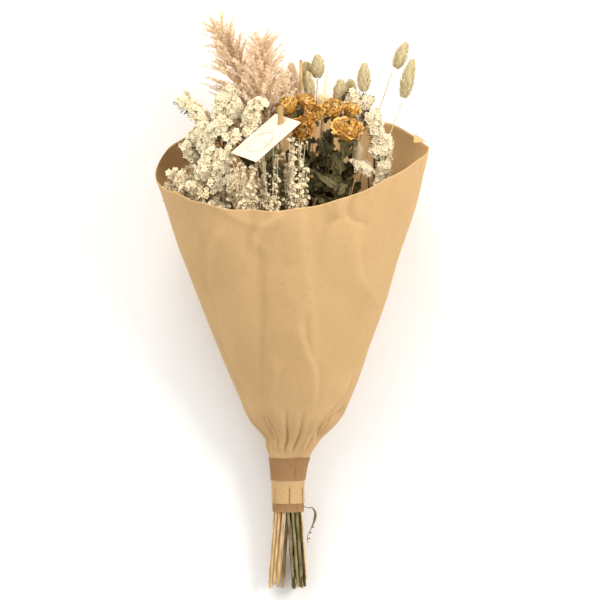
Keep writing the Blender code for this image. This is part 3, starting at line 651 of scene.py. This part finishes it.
def feather_plume(name, piece, branches, reach, spread, fluff):
    """A pampas plume: branches that leave the stalk all round, each lined with fine hairy seeds."""
    line, _ = head_line(name)
    built = Builder().use(PLUME)
    stalk(built, name, line[-1, 1] - 0.01, 7, thin=0.8)
    spine = smooth(line, 60)
    along_all = unit(np.gradient(spine, axis=0))
    for b in range(branches):
        share = (b + 0.5) / branches
        at = int(share * 54)
        along = along_all[at]
        side, up = spread_directions(along)
        turn = b * GOLDEN_ANGLE + rng.normal(0, 0.3)
        out = math.cos(turn) * side + math.sin(turn) * up
        length = reach * (1.05 - 0.62 * share**1.5) * rng.uniform(0.6, 1.1)
        way = unit(along + out * spread * rng.uniform(0.5, 1.2) + rng.normal(0, 0.1, 3))
        steps = np.linspace(0, 1, 8)[:, None]
        curve = spine[at] + way * length * steps + out * 0.12 * length * steps**2
        curve = curve + wobble(curve, 0.012, 0.0012)
        curve[:, 2] = np.maximum(curve[:, 2], 0.003)
        built.tube(curve, np.linspace(0.00028, 0.00010, 8), 3, 0.5)
        count = int(fluff * length / reach)
        where = rng.uniform(0.08, 1.0, count)
        roots = np.stack([np.interp(where, steps[:, 0], curve[:, k]) for k in range(3)], -1)
        ways = unit(way[None] * 0.9 + rng.normal(0, 0.50, (count, 3)))
        shades = np.clip(0.42 + 0.35 * where + rng.normal(0, 0.13, count), 0, 1)
        hairs(built, roots, ways, rng.uniform(0.0025, 0.0056, count) * (1.15 - 0.4 * where), 0.00028,
              rng.normal(0, 0.25, (count, 3)), shades)
    built.done(piece, "plume", [name])


def grasses():
    for i in range(1, 10):
        eared_grass(f"canary_grass_{i}", f"canary_ear_{i}", "sage_grain", SAGE, 1.12, 1, 0.8,
                    230, 0.0056, 0.0025, 0.55)
    feather_plume("pampas_grass_1", "pampas_plume_1", 230, 0.050, 0.98, 160)
    feather_plume("pampas_grass_2", "pampas_plume_2", 190, 0.045, 0.95, 150)
    feather_plume("reed_plume", "small_reed_plume", 44, 0.014, 0.50, 60)
    eared_grass("foxtail_grass", "foxtail_ear", "straw", PLUME, 1.2, 1, 0.75,
                210, 0.0080, 0.0026, 0.50, SCALE_TONES * 0.4 + 0.55, awn=0.008)
    eared_grass("straw_tuft", "pale_tuft", "straw", CREAM, 1, 0, 0.75,
                120, 0.0070, 0.0030, 0.9, SCALE_TONES * 0.4 + 0.5)
    built = Builder().use(STRAW)
    stalk(built, "reed_stalk", None, 9, 0.045)
    built.done("cut_reed", "straw", ["reed_stalk"])
    # A single flat blade of grass, curling over at its tip.
    root = np.array([0.030, 0.150 + SHIFT, 0.076])
    steps = np.linspace(0, 1, 24)[:, None]
    blade = root + np.array([0.0075, 0.096, 0.004]) * steps + np.array([-0.002, 0, 0.006]) * np.sin(steps * 3)
    wide = 0.0014 * np.sin(math.pi * (0.25 + 0.75 * steps)) + 0.0002
    built = Builder().use(SAGE)
    built.grid(np.stack([blade - np.array([1, 0, 0.3]) * wide, blade + np.array([0, 0, 0.0005]),
                         blade + np.array([1, 0, 0.2]) * wide], 1), np.array([[0.3, 0.7, 0.4]]))
    built.done("grass_blade", "sage_grain")


# Roses.

OPEN_ROSES = (5, 7)
PALE_ROSES = (4, 5, 7)
PETAL_RINGS = ((3, 0.10), (4, 0.22), (5, 0.36), (6, 0.52), (7, 0.70), (7, 0.86), (6, 1.0))  # petals, how open


def rose_frame(number):
    """A rose head's base, middle axis and radius, from its CAD solid."""
    points = points_of(f"rose_head_{number}")
    stem, _ = middle_line(f"rose_stem_{number}", 0.003)
    centre = (points.min(0) + points.max(0)) / 2
    axis = unit(centre - stem[-1])
    along = (points - centre) @ axis
    radius = np.linalg.norm(points - centre - along[:, None] * axis, axis=1).max()
    return centre + axis * along.min(), axis, radius


def petal(built, base, axis, side, up, turn, opened, radius, seed, roll, pale_rim):
    """One crinkled dried petal: inner layers close over the middle, outer ones roll back at the edge."""
    rows, columns = 10, 9
    v = np.linspace(0, 1, rows)[:, None]
    u = np.linspace(-1, 1, columns)[None]
    out = radius * (0.16 + 0.84 * opened ** 0.8) * (0.34 + 0.66 * np.sin(v * 1.75))
    out = out * (1 - (1 - opened) * 0.55 * v**2)
    out = out + radius * (0.10 + 0.20 * roll) * opened**2 * ramped(v, 0.66, 1.05) * (1 + 0.5 * np.abs(u))
    rise = radius * (1.62 - 0.22 * opened) * v * (1 - 0.20 * opened * v**3) * (1 - 0.14 * np.abs(u) ** 2.2)
    rise = rise - radius * 0.30 * roll * opened**2 * ramped(v, 0.7, 1.05)
    span = (0.85 + 0.15 * opened) * (1.25 - 0.35 * opened) * np.sin(math.pi * (0.18 + 0.60 * v)) ** 0.7
    angle = turn + u * span + 0.25 * (1 - opened) * v
    out = out + 0.075 * radius * np.sin(u * 7 + seed * 3.1) * v**2
    where = (base + axis * rise[..., None] + side * (np.cos(angle) * out)[..., None]
             + up * (np.sin(angle) * out)[..., None])
    where = where + wobble(where + seed * 0.01, 0.0032, 0.0019) * ramped(v, 0.1, 0.7)[..., None]
    veins = 0.10 * np.sin(u * 16 + seed)
    edge = 0.42 * ramped(np.abs(u), 0.72, 1.0) + 0.40 * ramped(v, 0.80, 1.0)
    rim = -0.55 if pale_rim < 0.5 else 0.30
    # Petals are lighter towards their tips; the inner, closed petals are darker towards their bases, painted
    # shade deep in the rose's middle.
    shade = 0.56 + 0.22 * v + edge * rim + veins - 0.35 * (1 - opened) * (1 - v) + 0.14 * math.sin(seed * 9)
    built.grid(where, np.clip(shade, 0, 1))


def roses():
    for i in range(1, 8):
        base, axis, radius = rose_frame(i)
        side, up = spread_directions(axis)
        built = Builder().use(PETAL)
        wide_open, rolled = (0.94, 1.1) if i in OPEN_ROSES else (0.88, 0.8)
        seed = i * 17.0
        for ring, (count, layer) in enumerate(PETAL_RINGS):
            for k in range(count):
                seed += 1
                turn = 2 * math.pi * (k + rng.uniform(-0.18, 0.18)) / count + ring * 0.9
                petal(built, base, axis, side, up, turn, layer * wide_open * rng.uniform(0.90, 1.04),
                      radius * 1.08, seed, rng.uniform(0, 1) ** 1.5 * rolled,
                      rng.uniform(0, 1) + (i in PALE_ROSES) * 0.3)
        built.use(GREEN)
        for k in range(5):
            turn = k * 2 * math.pi / 5 + i
            out = math.cos(turn) * side + math.sin(turn) * up
            steps = np.linspace(0, 1, 7)[:, None]
            rib = (base + out * radius * (0.20 + 0.75 * np.sin(steps * 1.6))
                   + axis * radius * (0.75 * steps - 0.9 * steps**3))
            across = unit(np.cross(out, axis)) * radius * 0.24 * np.sin(math.pi * (0.15 + 0.85 * (1 - steps)))
            built.ribbon(rib, across, axis * 0.0003, (0.6, 0.4, 0.7))
        cup = base + axis * radius * np.linspace(-0.02, 0.42, 6)[:, None]
        built.tube(cup, radius * np.array([0.20, 0.34, 0.40, 0.42, 0.40, 0.3]), 10, 0.5)
        built.done(f"rose_{i}", "rose_petal", [f"rose_head_{i}"])
        built = Builder().use(stem_finish(f"rose_stem_{i}", GREEN))
        stem = stalk(built, f"rose_stem_{i}", None, 8, 0.038, 1.0)
        for k in range(14):
            at = int(rng.uniform(0.3, 0.95) * (len(stem) - 2))
            along = unit(stem[at + 1] - stem[at])
            s, t = spread_directions(along)
            turn = rng.uniform(0, 6.28)
            out = math.cos(turn) * s + math.sin(turn) * t
            thorn = stem[at] + np.array([out * 0, out * 0.0019, out * 0.0030 - along * 0.0005])
            built.tube(thorn, np.array([0.0008, 0.0005, 0.0001]), 5, 0.35)
        built.done(f"rose_stalk_{i}", "rose_green", [f"rose_stem_{i}"])


def dried_leaf(built, foot, way, face, length, width, curl, seed):
    """A crumpled leaf with a midrib, side veins, a toothed edge and a curled tip."""
    rows, columns = 17, 11
    v = np.linspace(0, 1, rows)[:, None]
    u = np.linspace(-1, 1, columns)[None]
    way = unit(way)
    side = unit(np.cross(way, face))
    up = np.cross(side, way)
    teeth = 1 + 0.07 * np.sign(np.sin(v * 70)) * (np.abs(u) > 0.9)
    outline = width * np.sin(math.pi * v**0.85) ** 0.75 * teeth + 0.0003
    bend = curl * v**1.6
    forward = length * np.sin(bend + 1e-6) / (curl + 1e-6) * np.ones_like(u)
    drop = length * (1 - np.cos(bend)) / (curl + 1e-6)
    fold = 0.55 * np.abs(u) ** 1.2 * outline + 0.0006 * np.sin(v * 26 + np.abs(u) * 5) * np.abs(u)
    where = (foot + way * forward[..., None] + side * (u * outline * 0.85)[..., None]
             + up * (fold - drop)[..., None])
    where = where + wobble(where + seed * 0.01, 0.006, 0.0022) * (v[..., None] > 0.05)
    vein = np.exp(-(u / 0.08) ** 2) + 0.5 * np.exp(-(np.sin(v * 24 - np.abs(u) * 4) / 0.25) ** 2)
    shade = 0.42 + 0.32 * vein + 0.18 * math.sin(seed * 5) + 0.1 * ramped(np.abs(u), 0.85, 1)
    built.grid(where, np.clip(shade * np.ones_like(where[..., 0]), 0, 1))


# Foliage: how many leaves, how far up the stem, their lean across, along and up, how loose, and their sizes.
ROSE_FOLIAGE = dict(count=14, up_to=0.9, across=0.8, along=(0.1, 1.0), lift=0.35, loose=0.5,
                    length=(0.014, 0.026), width=(0.005, 0.008), curl=(0.8, 2.6))
DEEP_FOLIAGE = dict(count=13, up_to=0.95, across=1, along=(0.2, 1.2), lift=0.2, loose=0.4,
                    length=(0.016, 0.028), width=(0.006, 0.009), curl=(0.6, 2.2))


def foliage(piece, stem, seed, kind):
    """Crumpled leaves that leave a stretch of stem on all sides."""
    built = Builder().use(GREEN)
    for j in range(kind["count"]):
        foot = stem[int(rng.uniform(0, kind["up_to"]) * len(stem))]
        turn = rng.uniform(0, 2 * math.pi)
        way = np.array([math.cos(turn) * kind["across"], rng.uniform(*kind["along"]),
                        kind["lift"] + 0.4 * math.sin(turn)])
        face = unit(np.array([0, -0.3, 1]) + rng.normal(0, kind["loose"], 3))
        dried_leaf(built, foot, way, face, rng.uniform(*kind["length"]), rng.uniform(*kind["width"]),
                   rng.uniform(*kind["curl"]), seed + j)
    built.done(piece, "rose_green")


def leaves():
    for i in range(1, 7):
        points = points_of(f"rose_leaf_{i}")
        centre = points.mean(0)
        _, _, axes = np.linalg.svd(points - centre)
        way = axes[0] * (1 if axes[0][1] > 0 else -1)
        face = axes[2] * (1 if axes[2][2] > 0 else -1)
        along = (points - centre) @ way
        built = Builder().use(GREEN)
        dried_leaf(built, centre + way * along.min(), way, face, along.max() - along.min(), 0.0085, 0.9, i)
        built.done(f"dried_leaf_{i}", "rose_green", [f"rose_leaf_{i}"])
    # The rest of the roses' foliage, crumpled together between their stems.
    for i in range(1, 8):
        stem, _ = middle_line(f"rose_stem_{i}", 0.003)
        foliage(f"rose_foliage_{i}", stem[stem[:, 1] > 0.075 + SHIFT], i * 20, ROSE_FOLIAGE)
    for k, name in enumerate(("canary_grass_3", "canary_grass_4", "canary_grass_5", "canary_grass_6",
                              "foxtail_grass", "broom_bloom_5", "statice_stem_5", "broom_bloom_4",
                              "statice_stem_7")):
        stem, _ = middle_line(name, 0.003)
        stretch = stem[(stem[:, 1] > 0.050 + SHIFT) & (stem[:, 1] < 0.150 + SHIFT)]
        foliage(f"deep_foliage_{k + 1}", stretch, 300 + k * 20, DEEP_FOLIAGE)


# Statice.

LOBES = 5
# Radius, height and ruffle, in the floret's own width.
FLORET_RINGS = ((0.10, 0.0, 0.0), (0.22, 0.42, 0.02), (0.46, 0.62, 0.10), (0.62, 0.60, 0.24))
RIDGE_STEPS = 40
FLORETS_PER_METRE = 5200
# The way that the florets face.
LEFT_LIFT, RIGHT_LIFT = unit(np.array([0.1, 0.75, 0.85])), unit(np.array([0.50, 0.35, 0.80]))
HUSK_TONES = np.array([0.2, 0.5, 0.3, 0.5, 0.6, 0.4, 0.6, 0.9])


def floret_shape():
    """A ruffled papery funnel with five notched lobes, one unit across, opening upward."""
    around = LOBES * 4
    turn = np.arange(around) * 2 * math.pi / around
    wave = np.cos(turn * LOBES)
    rings = []
    for radius, height, ruffle in FLORET_RINGS:
        r = radius * (1 + 0.22 * wave * (radius > 0.3))
        z = height + ruffle * np.cos(turn * LOBES * 2)
        rings.append(np.stack([r * np.cos(turn), r * np.sin(turn), z], -1))
    points = np.concatenate(rings)
    index = np.arange(len(points)).reshape(4, around)
    right = np.roll(index, -1, 1)
    faces = np.stack([index[:-1], right[:-1], right[1:], index[1:]], -1).reshape(-1, 4)
    tones = np.repeat([0.30, 0.60, 0.85, 1.0], around)
    return points, faces, tones


FLORET, FLORET_FACES, FLORET_TONES = floret_shape()


def florets(built, spots, ways, sizes):
    """A floret at each spot, facing its way."""
    side, up = spread_directions(ways)
    turn = rng.uniform(0, 6.28, len(spots))[:, None]
    a = np.cos(turn) * side + np.sin(turn) * up
    b = np.cross(ways, a)
    bases = np.stack([a, b, ways], 1) * sizes[:, None, None]
    tones = np.clip(FLORET_TONES[None] + rng.normal(0, 0.10, (len(spots), 1)), 0, 1)
    built.copies(FLORET, FLORET_FACES, spots, bases, tones)


def round_ridge(along_all, lift, places, turn, lean):
    """For places from 0 to 1 on a ridge: index, the ridge's course and the way out, turned from its top."""
    at = (places * (RIDGE_STEPS - 1)).astype(int)
    along = along_all[at]
    out = unit(lift - along * (along @ lift)[:, None])
    side = np.cross(along, out)
    return at, along, unit(out * np.cos(turn)[:, None] + side * np.sin(turn)[:, None] + along * lean)


def blossom_ridge(built, line, radius, size, lift):
    """Florets crowded on the side of a ridge that lift points to, over rows of pointed green husks."""
    length = np.linalg.norm(np.diff(line, axis=0), axis=1).sum()
    line = smooth(line, RIDGE_STEPS)
    along_all = unit(np.gradient(line, axis=0))
    count = int(FLORETS_PER_METRE * length)
    at, _, way = round_ridge(along_all, lift, np.sort(rng.uniform(0, 1, count)),
                             rng.uniform(-1.15, 1.15, count), rng.normal(0.05, 0.25, (count, 1)))
    built.use(CREAM)
    florets(built, line[at] + way * (radius * rng.uniform(0.35, 0.95, count))[:, None], way,
            size * rng.uniform(0.75, 1.2, count))
    built.use(BROWN)
    husks = int(count * 0.6)
    at, along, way = round_ridge(along_all, lift, rng.uniform(0, 1, husks),
                                 rng.uniform(0.9, 2.7, husks) * rng.choice([-1, 1], husks), 0.35)
    across = unit(np.cross(way, along + 1e-3))
    bases = np.stack([across * 0.0024, way * rng.uniform(0.0045, 0.0080, (husks, 1)),
                      np.cross(across, way) * 0.0020], 1)
    tones = np.clip(HUSK_TONES[None] + rng.normal(0, 0.12, (husks, 1)), 0, 1)
    built.copies(SCALE, SCALE_TRIS, line[at] + way * radius * 0.30, bases, tones)
    built.tube(line, radius * 0.30, 7, 0.25)


# More ridges on the statice's side branches: the stem each leaves, its line, half thickness.
SIDE_RIDGES = (
    (2, ((-0.060, 0.180, 0.106), (-0.055, 0.190, 0.110), (-0.050, 0.198, 0.112)), 0.0062),
    (5, ((-0.040, 0.184, 0.118), (-0.034, 0.193, 0.121), (-0.027, 0.194, 0.120)), 0.0062),
    (1, ((-0.098, 0.142, 0.100), (-0.104, 0.152, 0.103), (-0.108, 0.160, 0.104)), 0.0060),
    (1, ((-0.096, 0.160, 0.104), (-0.090, 0.168, 0.108), (-0.084, 0.172, 0.110)), 0.0062),
    (4, ((-0.086, 0.126, 0.122), (-0.082, 0.138, 0.125), (-0.078, 0.148, 0.126)), 0.0070),
    (4, ((-0.058, 0.112, 0.132), (-0.060, 0.124, 0.135)), 0.0060),
    (3, ((-0.066, 0.164, 0.118), (-0.058, 0.160, 0.122), (-0.052, 0.166, 0.122)), 0.0062),
    (6, ((0.076, 0.128, 0.086), (0.072, 0.134, 0.088), (0.060, 0.136, 0.090)), 0.0052),
    (6, ((0.082, 0.150, 0.090), (0.090, 0.150, 0.092), (0.092, 0.166, 0.092)), 0.0052),
    (7, ((0.070, 0.196, 0.084), (0.076, 0.206, 0.086)), 0.0052),
    (7, ((0.060, 0.200, 0.084), (0.058, 0.210, 0.086)), 0.0052),
)


def lift_of(number):
    return RIGHT_LIFT if number > 5 else LEFT_LIFT


def statice():
    for i in range(1, 8):
        name = f"statice_head_{i}"
        points = points_of(name)
        centre = points.mean(0)
        _, _, axes = np.linalg.svd(points - centre)
        along = (points - centre) @ axes[0]
        bins = np.linspace(along.min(), along.max(), 8)
        groups = [points[(along >= a - 1e-4) & (along <= b + 1e-4)] for a, b in zip(bins[:-1], bins[1:])]
        line = np.array([group.mean(0) for group in groups if len(group) > 3])
        stem, _ = middle_line(f"statice_stem_{i}", 0.004)
        if np.linalg.norm(line[0] - stem[-1]) > np.linalg.norm(line[-1] - stem[-1]):
            line = line[::-1]
        line = np.vstack([stem[-1] * 0.3 + line[0] * 0.7, line])
        built = Builder()
        blossom_ridge(built, line, 0.0085, 0.0042, lift_of(i))
        built.done(f"statice_ridge_{i}", "statice_bloom", [name])
        built = Builder().use(stem_finish(f"statice_stem_{i}", BROWN))
        path = stalk(built, f"statice_stem_{i}", None, 7, thin=0.9)
        # Papery wings down both sides of the stem.
        upper = path[len(path) // 2:]
        side, _ = spread_directions(unit(np.gradient(upper, axis=0)))
        ruffle = 0.0022 * (0.6 + 0.4 * np.sin(upper[:, 1] * 420))[:, None]
        built.ribbon(upper, side * ruffle, 0, (0.8, 0.4, 0.8))
        built.done(f"statice_stalk_{i}", "statice_stem", [f"statice_stem_{i}"])
    for k, (number, line, radius) in enumerate(SIDE_RIDGES):
        line = np.array(line) + np.array([0, SHIFT, 0])
        stem, _ = middle_line(f"statice_stem_{number}", 0.004)
        leave = stem[np.argmin(np.abs(stem[:, 1] - (line[0, 1] - 0.035)))]
        built = Builder()
        blossom_ridge(built, line, radius * 1.25, 0.0041, lift_of(number))
        branch = smooth([leave, leave * 0.45 + line[0] * 0.55 - UP * 0.002, line[0]], 14)
        built.tube(branch, np.linspace(0.0010, 0.0008, 14), 6, 0.5)
        built.done(f"statice_branch_{k + 1}", "statice_bloom")


# Broom bloom.

FLUFFY_BROOMS = 2


def broom():
    """Clouds of buds: the first two are loose and fluffy, the others stand in upright sprays."""
    for i in range(1, 6):
        name = f"broom_bloom_{i}"
        line, radii = middle_line(name, 0.004)
        cloud = line[radii > 0.0045]
        fluffy = i <= FLUFFY_BROOMS
        built = Builder().use(stem_finish(name, OLIVE))
        foot = cloud[0, 1]
        stalk(built, name, foot, 7, thin=0.8)
        built.use(BUD)
        reach = radii.max() * (1.6 if fluffy else 1.35)
        start = line[line[:, 1] <= foot][-1]
        spots, ways = [], []
        for b in range(64 if fluffy else 60):
            share = rng.uniform(0.0, 0.85) if fluffy else rng.uniform(0, 0.5)
            root = start + (cloud[min(len(cloud) - 1, int(share * len(cloud)))] - start) * (0.9 if b else 0)
            end = cloud[min(len(cloud) - 1, int((share * 0.6 + rng.uniform(0.25, 0.5)) * len(cloud)))]
            if not fluffy:
                end = cloud[0] + (cloud[-1] - cloud[0]) * rng.uniform(0.25, 1.25)
            turn = rng.uniform(0, 6.28)
            out = np.array([math.cos(turn), 0, math.sin(turn)]) * reach * math.sqrt(rng.uniform(0.1, 1))
            tip = end + out
            tip[2] = max(tip[2], 0.004)
            curve = smooth([root, root * 0.5 + tip * 0.5 + out * 0.15, tip], 9)
            curve = curve + wobble(curve, 0.01, 0.0008)
            built.tube(curve, np.linspace(0.00045, 0.00020, 9), 4, 0.45 if fluffy else 0.95)
            for _ in range(7 if fluffy else 8):
                at = curve[int(rng.uniform(3, 8.99))]
                way = unit(unit(tip - root) * 0.9 + rng.normal(0, 0.5, 3))
                length = rng.uniform(0.004, 0.010) * (1 if fluffy else 0.5)
                bud = at + unit(way + rng.normal(0, 0.3, 3)) * length
                twig = smooth([at, at + way * length * 0.6, bud], 5)
                built.tube(twig, np.linspace(0.00022, 0.00012, 5), 3, 0.6)
                spots.append(twig[-1])
                ways.append(way)
                if rng.uniform() < 0.6:
                    spots.append(twig[2])
                    ways.append(unit(way + rng.normal(0, 0.7, 3)))
        spots, ways = np.array(spots), np.array(ways)
        sizes = rng.uniform(0.0036, 0.0054, len(spots)) if fluffy else rng.uniform(0.0015, 0.0030, len(spots))
        built.use(CREAM)
        florets(built, spots, ways, sizes)
        built.done(f"broom_cloud_{i}", "broom_bloom", [name])


# The stick, its card and the dried leaf caught in the binding.


def stick():
    line, radii = middle_line("wooden_stick", 0.01)
    high = np.array(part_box("wooden_stick")[1])
    way = unit(line[-2] - line[-5])
    top = line[-2] + way * ((high[1] - 0.0004 - line[-2][1]) / way[1])
    path = np.vstack([smooth(line[:-1], 60), top])
    width = np.interp(np.linspace(0, 1, 60), np.linspace(0, 1, len(radii) - 1), radii[:-1])
    width = np.append(width, radii[-4])
    path = np.vstack([path, top + way * 0.0006, top + way * 0.0007])
    width = np.r_[width, width[-1] * 0.8, 0.0001]
    built = Builder().use(WOOD)
    built.tube(path, width, 28, 0.5 + 0.2 * np.sin(np.arange(len(path)) * 0.7))
    built.done("wood_stick", "bare_wood", ["wooden_stick"])


def card():
    """The card keeps its CAD shape, and gets a plain thin oval rule in its free part."""
    nodes["card"].data.materials.clear()
    nodes["card"].data.materials.append(CARD)
    points = points_of("card")
    centre = points.mean(0)
    corners = [points[np.argmax((points - centre) @ np.array(way))] for way in
               ((0.2, 1, -0.3), (-1, -0.35, -0.3), (0.1, -0.9, 1.0), (1, 0.2, 0.4))]
    normal = unit(np.cross(corners[1] - corners[0], corners[3] - corners[0]))
    normal = normal if normal[2] > 0 else -normal
    middle = sum(corners) / 4
    lifted = [c + normal * 0.0002 for c in corners]
    built = Builder().use(INK)
    a, b = (lifted[1] - lifted[0]) * 0.5, (lifted[3] - lifted[0]) * 0.5
    turn = np.linspace(0, 2 * math.pi, 97)[:, None]
    heart = middle + a * 0.24 + normal * (((points - middle) @ normal).max() + 0.00006)
    inner = heart + a * 0.46 * np.cos(turn) + b * 0.56 * np.sin(turn)
    outer = heart + a * 0.475 * np.cos(turn) + b * 0.585 * np.sin(turn)
    built.grid(np.stack([inner, outer], 1), 0.5)
    built.done("card_rule", "card")


def caught_leaf():
    """A dried strand looped out of the binding on the right."""
    built = Builder().use(BROWN)
    loop = np.array([[0.0105, -0.206, 0.034], [0.0150, -0.209, 0.037], [0.0205, -0.209, 0.039],
                     [0.0235, -0.214, 0.040], [0.0225, -0.222, 0.040], [0.0185, -0.232, 0.038],
                     [0.0155, -0.240, 0.036], [0.0165, -0.245, 0.036]])
    path = smooth(loop + np.array([0, SHIFT, 0]), 40)
    wide = 0.0003 + 0.0011 * np.exp(-(((np.arange(40) - 17) / 7) ** 2))[:, None]
    side, _ = spread_directions(unit(np.gradient(path, axis=0)))
    twist = side + UP * 0.6 * np.sin(np.arange(40) * 0.3)[:, None]
    built.ribbon(path, twist * wide, UP * 0.0003, (0.9, 0.5, 0.8))
    for k in (26, 31, 36):
        bud = path[k] + np.array([[0, 0, 0], [0.0022, 0.0010, 0.0004], [0.0030, 0.0002, 0.0004]])
        built.tube(bud, np.array([0.0005, 0.0007, 0.0002]), 5, 0.6)
    built.done("caught_leaf", "statice_stem")


# The floor, the light and the camera.

LAMPS = (  # name, place, size, power
    ("key", (1.1, 0.5, 1.2), 0.6, 17),
    ("fill", (-1.2, 0.5, 1.5), 1.2, 9),
    ("mouth", (-0.35, 1.6, 0.9), 0.8, 18),
)
CAMERA_HEIGHT = 2.4
SENSOR = 36
SEEN_WIDTH, SEEN_AT = 0.6, 0.085  # how wide the picture is at that height


def stage():
    bpy.ops.mesh.primitive_plane_add(size=30)
    floor = bpy.context.object
    floor.name = "floor"
    made, tree, shader = material("pale_floor")
    tree.links.new(ramp(tree, noise_of(tree, 3), ((0.4, (0.90, 0.90, 0.895)), (0.6, (0.92, 0.92, 0.915)))),
                   shader.inputs["Base Color"])
    shader.inputs["Roughness"].default_value = 0.9
    floor.data.materials.append(made)
    world = bpy.data.worlds.new("soft_room")
    world.use_nodes = True
    world.node_tree.nodes["Background"].inputs["Color"].default_value = (1.0, 0.99, 0.97, 1)
    world.node_tree.nodes["Background"].inputs["Strength"].default_value = 0.72
    bpy.context.scene.world = world
    for name, place, size, power in LAMPS:
        data = bpy.data.lights.new(name, "AREA")
        data.size, data.energy = size, power
        data.color = (1, 0.975, 0.94)
        lamp = bpy.data.objects.new(name, data)
        lamp.location = place
        lamp.rotation_euler = (Vector((0, 0.05, 0.06)) - Vector(place)).to_track_quat("-Z", "Y").to_euler()
        bpy.context.scene.collection.objects.link(lamp)
    data = bpy.data.cameras.new("camera")
    camera = bpy.data.objects.new("camera", data)
    data.sensor_width = SENSOR
    data.lens = SENSOR * (CAMERA_HEIGHT - SEEN_AT) / SEEN_WIDTH
    camera.location = (0.008, 0.003 + SHIFT, CAMERA_HEIGHT)
    bpy.context.scene.collection.objects.link(camera)
    bpy.context.scene.camera = camera
    bpy.context.scene.view_settings.view_transform = "Standard"


stage()
kraft_wrap()
tape_round("neck_tape", ["outer_tape"], TAPE_Y, 1.16, wrap_section)
tape_round("binding_tape", ["stem_binding"], BINDING_Y, 1.12, stem_round)
grasses()
roses()
leaves()
statice()
broom()
stick()
card()
caught_leaf()
